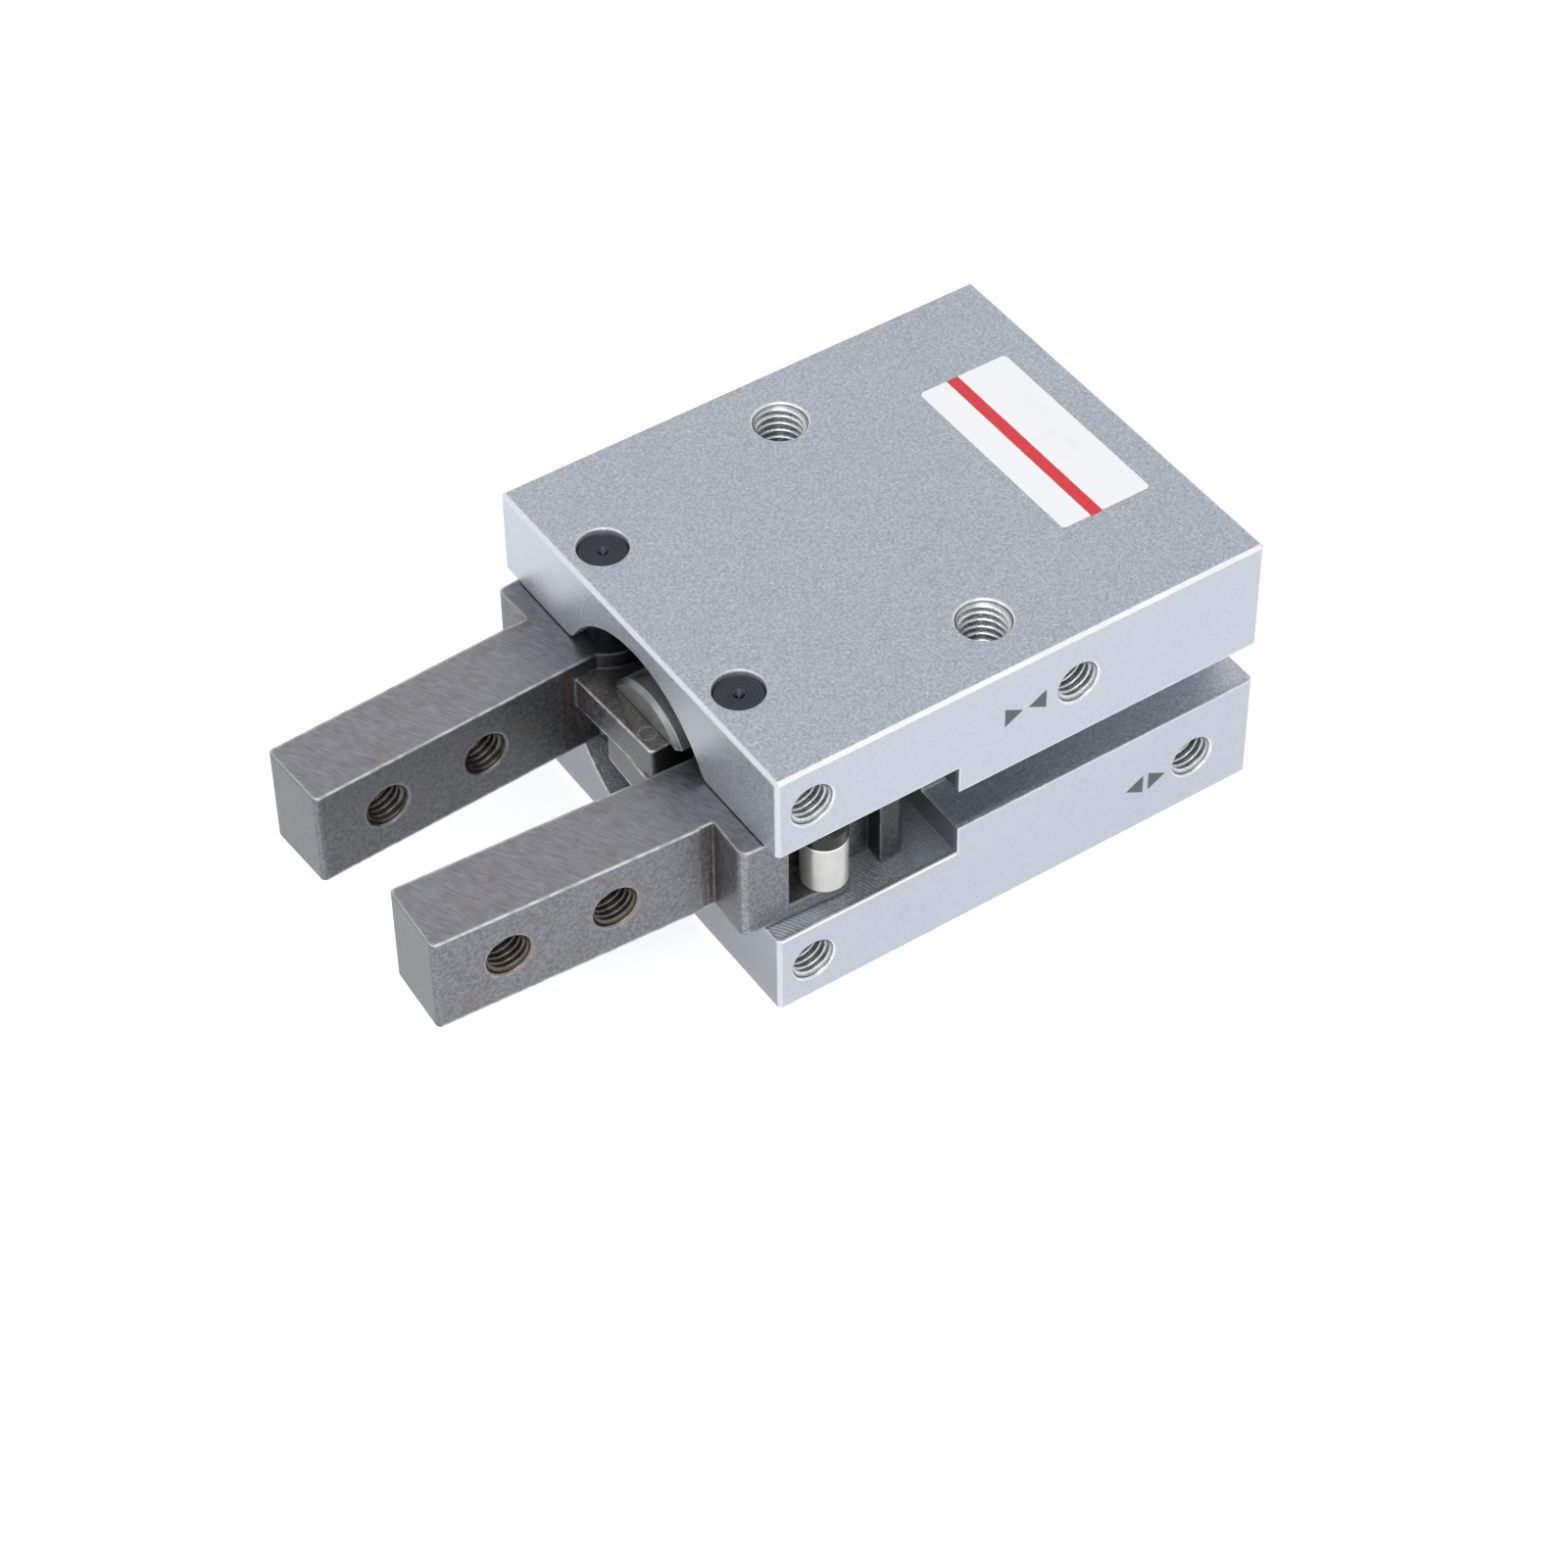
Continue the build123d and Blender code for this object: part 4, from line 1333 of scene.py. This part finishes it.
@dataclass
class HoleList:
    """Reads the threaded holes from the record's mounts.

    Args:
        mounts: The record's mounts.
        face_depths: Thread length under the face of each bolt pattern, in metres.
        rear_angle: Angle of the rear holes above the Y axis, in radians.
    """

    mounts: Sequence[Mapping[str, object]]
    face_depths: Mapping[str, float]
    rear_angle: float

    def holes(self) -> list[ThreadedHole]:
        """List every threaded hole.

        Returns:
            The holes.
        """
        found = []
        for mount in self.mounts:
            if mount["kind"] == "bolt_pattern":
                found += self.pattern(mount)
            elif mount["kind"] == "threaded_hole":
                found.append(self.single(mount))
        return found

    def pattern(self, mount: Mapping[str, object]) -> list[ThreadedHole]:
        """Holes of a two-hole pattern on a face.

        Args:
            mount: The pattern's mount.

        Returns:
            Its holes.
        """
        centre, axis = Vector(mount["pos_m"]), Vector(mount["axis"])
        dims = mount["dims"]
        size = ThreadSize.M6 if dims["hole_r_mm"] == 3.0 else ThreadSize.M5
        if "pcd_mm" in dims:
            half = dims["pcd_mm"] * MM / 2
            step = Vector((0, math.cos(self.rear_angle), math.sin(self.rear_angle))) * half
        else:
            line = Vector((0, 1, 0)) if abs(axis.z) > 0.5 else Vector((0, 0, 1))
            step = line * (dims["spacing_y_mm"] * MM / 2)
        return [ThreadedHole(f"{mount['name']}_{place}", size, centre + side * step, axis,
                             self.face_depths[mount["name"]], "housing", "anodised_aluminium")
                for place, side in (("first", 1), ("second", -1))]

    @staticmethod
    def single(mount: Mapping[str, object]) -> ThreadedHole:
        """A single threaded hole, given by its middle.

        Args:
            mount: The hole's mount.

        Returns:
            The hole.
        """
        axis, name = Vector(mount["axis"]), mount["name"]
        place, length = Vector(mount["pos_m"]), mount["dims"]["length_mm"] * MM
        jaw = "jaw" in name
        body = f"{name.split('_')[0]}_finger_body" if jaw else "housing"
        reach = length / 2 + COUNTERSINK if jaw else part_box("body")[1][1] - place.y
        return ThreadedHole(name, ThreadSize.M5, place + axis * reach, axis, length + COUNTERSINK,
                            body, "finger_steel" if jaw else "anodised_aluminium")


@dataclass
class Sticker:
    """Plain sticker on the top face.

    Args:
        low: Lowest X and Y in metres.
        high: Highest X and Y in metres.
        height: Height of the face it lies on, in metres.
        thickness: Its thickness in metres.
        corner: Its corner radius in metres.
        lift: Gap of the glue in metres.
        levels: Height as a share of the thickness, and inset in metres, of each outline.
    """

    low: Pair = (-26.1 * MM, -13.65 * MM)
    high: Pair = (-14.75 * MM, 12.2 * MM)
    height: float = 33.6 * MM
    thickness: float = 0.09 * MM
    corner: float = 0.55 * MM
    lift: float = 0.002 * MM
    levels: tuple[Pair, ...] = (
        (0.0, 0.02 * MM), (0.0, 0.0), (0.55, 0.0), (0.88, 0.02 * MM), (1.0, 0.06 * MM))

    def outline(self, inset: float, steps: int = 8) -> np.ndarray:
        """Outline with round corners, counter-clockwise from above.

        Each corner is a quarter circle about its own centre.

        Args:
            inset: How far inside the edge the outline runs, in metres.
            steps: Points on each corner.

        Returns:
            The points as (n, 2).
        """
        low, high = np.array(self.low), np.array(self.high)
        middle, half = (low + high) / 2, (high - low) / 2 - self.corner
        signs = np.array([(1, 1), (-1, 1), (-1, -1), (1, -1)])
        start = np.arange(4)[:, None] * math.pi / 2
        angle = start + np.linspace(0, math.pi / 2, steps)[None, :]
        arc = np.stack([np.cos(angle), np.sin(angle)], axis=-1) * (self.corner - inset)
        return (middle + (signs * half)[:, None, :] + arc).reshape(-1, 2)

    def build(self, material: bpy.types.Material) -> bpy.types.Object:
        """Make the sticker with a rounded upper edge.

        Args:
            material: The paper.

        Returns:
            The sticker.
        """
        rings = []
        for share, inset in self.levels:
            flat = self.outline(inset)
            rise = self.height + self.lift + share * self.thickness
            rings.append(np.column_stack([flat, np.full(len(flat), rise)]))
        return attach(mesh_object("sticker", *solid_of_rings(np.array(rings)), material), "housing")


@dataclass
class PortMarks:
    """Small pairs of arrows beside the ports.

    They point together at the port that shuts the fingers, and apart at the one that opens them.

    Args:
        wall: Y of the face in metres.
        shut_place: X and Z of the mark by the shutting port, in metres.
        open_place: X and Z of the mark by the opening port, in metres.
        half_span: Half the mark's length in metres.
        half_height: Half its height in metres.
        gap: Half the gap between its two arrows in metres.
        proud: How far the fill stands out in metres.
    """

    wall: float = 26.0 * MM
    shut_place: Pair = (0.0, 27.0 * MM)
    open_place: Pair = (-16.5 * MM, 6.4 * MM)
    half_span: float = 2.6 * MM
    half_height: float = 1.25 * MM
    gap: float = 0.35 * MM
    proud: float = 0.012 * MM

    def arrow(self, name: str, centre: Pair, side: int, inwards: bool,
              material: bpy.types.Material) -> bpy.types.Object:
        """Make one triangular arrow as a thin prism.

        Args:
            name: Name of the arrow.
            centre: X and Z of the mark's centre.
            side: 1 for the arrow at higher X, -1 for the other.
            inwards: Whether it points to the mark's centre.
            material: The fill.

        Returns:
            The arrow.
        """
        near, far = self.gap, self.half_span
        tip, back = (near, far) if inwards else (far, near)
        flat = np.array([(side * tip, 0.0), (side * back, self.half_height),
                         (side * back, -self.half_height)])
        facing = np.cross(flat[1] - flat[0], flat[2] - flat[0])
        flat = flat[::-1] if facing > 0 else flat
        rings = [np.column_stack([flat[:, 0] + centre[0], np.full(3, level), flat[:, 1] + centre[1]])
                 for level in (self.wall - self.proud, self.wall + self.proud)]
        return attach(mesh_object(name, *solid_of_rings(np.array(rings)), material), "housing")

    def build(self, material: bpy.types.Material) -> list[bpy.types.Object]:
        """Make both marks.

        Args:
            material: The fill.

        Returns:
            The four arrows.
        """
        marks = (("shut", self.shut_place, True), ("open", self.open_place, False))
        return [self.arrow(f"{name}_mark_{place}", centre, side, inwards, material)
                for name, centre, inwards in marks
                for place, side in (("front", 1), ("rear", -1))]


@dataclass
class GripperDressing:
    """Gives the CAD solids their finishes and adds what the solids leave out.

    Args:
        nodes: The CAD solids by name.
        record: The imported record.
    """

    nodes: Mapping[str, bpy.types.Object]
    record: Mapping[str, object]

    def paint(self) -> None:
        """Put each slot's finish on the solids that use it."""
        made = {name: finish.build() for name, finish in finishes().items()}
        for name, solid in self.nodes.items():
            slot_name = solid.data.materials[0].name.split(".")[0]
            solid.data.materials[0] = made[slot_name]
            log.info("solid %s in %s", name, slot_name)

    def build(self) -> None:
        """Paint the solids, then add threads, sticker and marks."""
        self.paint()
        threads = {
            "anodised_aluminium": ThreadFinish("block_thread", linear(236, 238, 241), linear(112, 114, 118),
                                               linear(222, 225, 229)).build(),
            "finger_steel": ThreadFinish("jaw_thread", linear(124, 118, 111), linear(42, 36, 31),
                                         linear(140, 128, 117)).build()}
        depths = {"top_threads": 10.8 * MM, "port_side_threads": 7.8 * MM,
                  "far_side_threads": 7.8 * MM, "rear_threads": 7.8 * MM}
        dressing = ThreadDressing()
        for hole in HoleList(self.record["mounts"], depths, math.radians(27.5)).holes():
            dressing.build(hole, threads[hole.slot])
        Sticker().build(LabelPaper("sticker_paper", linear(254, 255, 255), linear(224, 46, 58),
                                   (-19.75 * MM, -18.3 * MM)).build())
        PortMarks().build(MarkInk("mark_fill", linear(92, 95, 100)).build())


@dataclass(frozen=True)
class Softbox:
    """Square soft light.

    Args:
        name: Its name.
        place: Where it hangs, in metres.
        aim: Where it points.
        size: Its width in metres.
        power: Its power in watts.
    """

    name: str
    place: Point
    aim: Point
    size: float
    power: float


@dataclass
class Studio:
    """Floor, sky, lights and camera.

    Args:
        floor_half: Half the floor's width in metres.
        floor_drop: How far the floor lies below the part, in metres.
        floor_colour: The floor's colour.
        floor_lift: Light added to the floor for the camera.
        sky_strength: Strength of the sky for light.
        sky_low: Sky colour at the horizon.
        sky_high: Sky colour overhead.
        lights: The soft lights.
        lens: Focal length in millimetres.
        shift: Shift of the lens along the picture's sides.
        camera_place: Where the camera stands, in metres.
        camera_aim: Where it points.
        camera_roll: Its turn about its view, in degrees.
    """

    floor_half: float = 3.0
    floor_drop: float = 0.02 * MM
    floor_colour: Rgb = (0.86, 0.86, 0.86)
    floor_lift: float = 0.56
    sky_strength: float = 0.8
    sky_low: Rgb = WHITE
    sky_high: Rgb = (0.78, 0.8, 0.84)
    lights: tuple[Softbox, ...] = (
        Softbox("key", place=(0.35, 0.5, 0.75), aim=(0.0, 0.0, 0.0), size=0.6, power=2.4),
        Softbox("front", place=(0.7, -0.1, 0.35), aim=(0.02, 0.0, 0.02), size=0.3, power=0.6))
    lens: float = 100.472
    shift: Pair = (0.02149, -0.09805)
    camera_place: Point = (0.193710, 0.274084, 0.342670)
    camera_aim: Point = (0.01099, -0.00825, 0.0168)
    camera_roll: float = -1.193

    def floor(self) -> None:
        """Lay the floor under the part."""
        half, low = self.floor_half, -self.floor_drop
        points = np.array([(-half, -half, low), (half, -half, low), (half, half, low), (-half, half, low)])
        material = PaleFloor("pale_floor", self.floor_colour, self.floor_lift).build()
        mesh_object("floor", points, [[0, 1, 2, 3]], material)

    def sky(self) -> None:
        """Write a soft sky that is white to the camera."""
        world = bpy.data.worlds.new("soft_sky")
        world.use_nodes = True
        world.node_tree.nodes.clear()
        bpy.context.scene.world = world
        graph = Graph(world.node_tree)
        _, _, rise = graph.shares(graph.node("TexCoord").outputs["Generated"])
        colour = graph.blend(graph.spread(rise, 0.0, 1.0), self.sky_low, self.sky_high)
        light = graph.node("Background", {"Color": colour, "Strength": self.sky_strength}).outputs[0]
        white = graph.node("Background", {"Color": WHITE, "Strength": 1.0}).outputs[0]
        mixed = graph.node("MixShader", {0: graph.seen(), 1: light, 2: white}).outputs[0]
        graph.node("OutputWorld", {"Surface": mixed})

    @staticmethod
    def stand(name: str, data: bpy.types.ID, place: Point, aim: Point,
              roll: float = 0.0) -> bpy.types.Object:
        """Stand a light or a camera on the stage.

        Args:
            name: Name of the object.
            data: Its light or camera.
            place: Where it stands, in metres.
            aim: Where it points.
            roll: Its turn about its view, in radians.

        Returns:
            The object.
        """
        made = bpy.data.objects.new(name, data)
        made.location = place
        made.rotation_mode = "QUATERNION"
        view = (Vector(aim) - Vector(place)).to_track_quat("-Z", "Y")
        made.rotation_quaternion = view @ Quaternion((0, 0, 1), roll)
        bpy.context.scene.collection.objects.link(made)
        return made

    def softboxes(self) -> None:
        """Hang the square soft lights."""
        for light in self.lights:
            data = bpy.data.lights.new(light.name, "AREA")
            data.shape = "SQUARE"
            data.size = light.size
            data.energy = light.power
            self.stand(light.name, data, light.place, light.aim)

    def camera(self) -> None:
        """Place the camera where the photo was taken from."""
        data = bpy.data.cameras.new("camera")
        data.sensor_width = 36.0
        data.lens = self.lens
        data.shift_x, data.shift_y = self.shift
        data.clip_start = 0.01
        data.clip_end = 50.0
        roll = math.radians(self.camera_roll)
        bpy.context.scene.camera = self.stand("camera", data, self.camera_place, self.camera_aim, roll)

    def build(self) -> None:
        """Set the whole stage."""
        self.floor()
        self.sky()
        self.softboxes()
        self.camera()
        settings = bpy.context.scene.view_settings
        settings.view_transform = "Standard"
        settings.look = "None"
        log.info("stage set")


def main() -> None:
    """Dress the part and set the stage."""
    GripperDressing(frame["nodes"], frame["record"]).build()
    Studio().build()


if __name__ == "__main__":
    main()
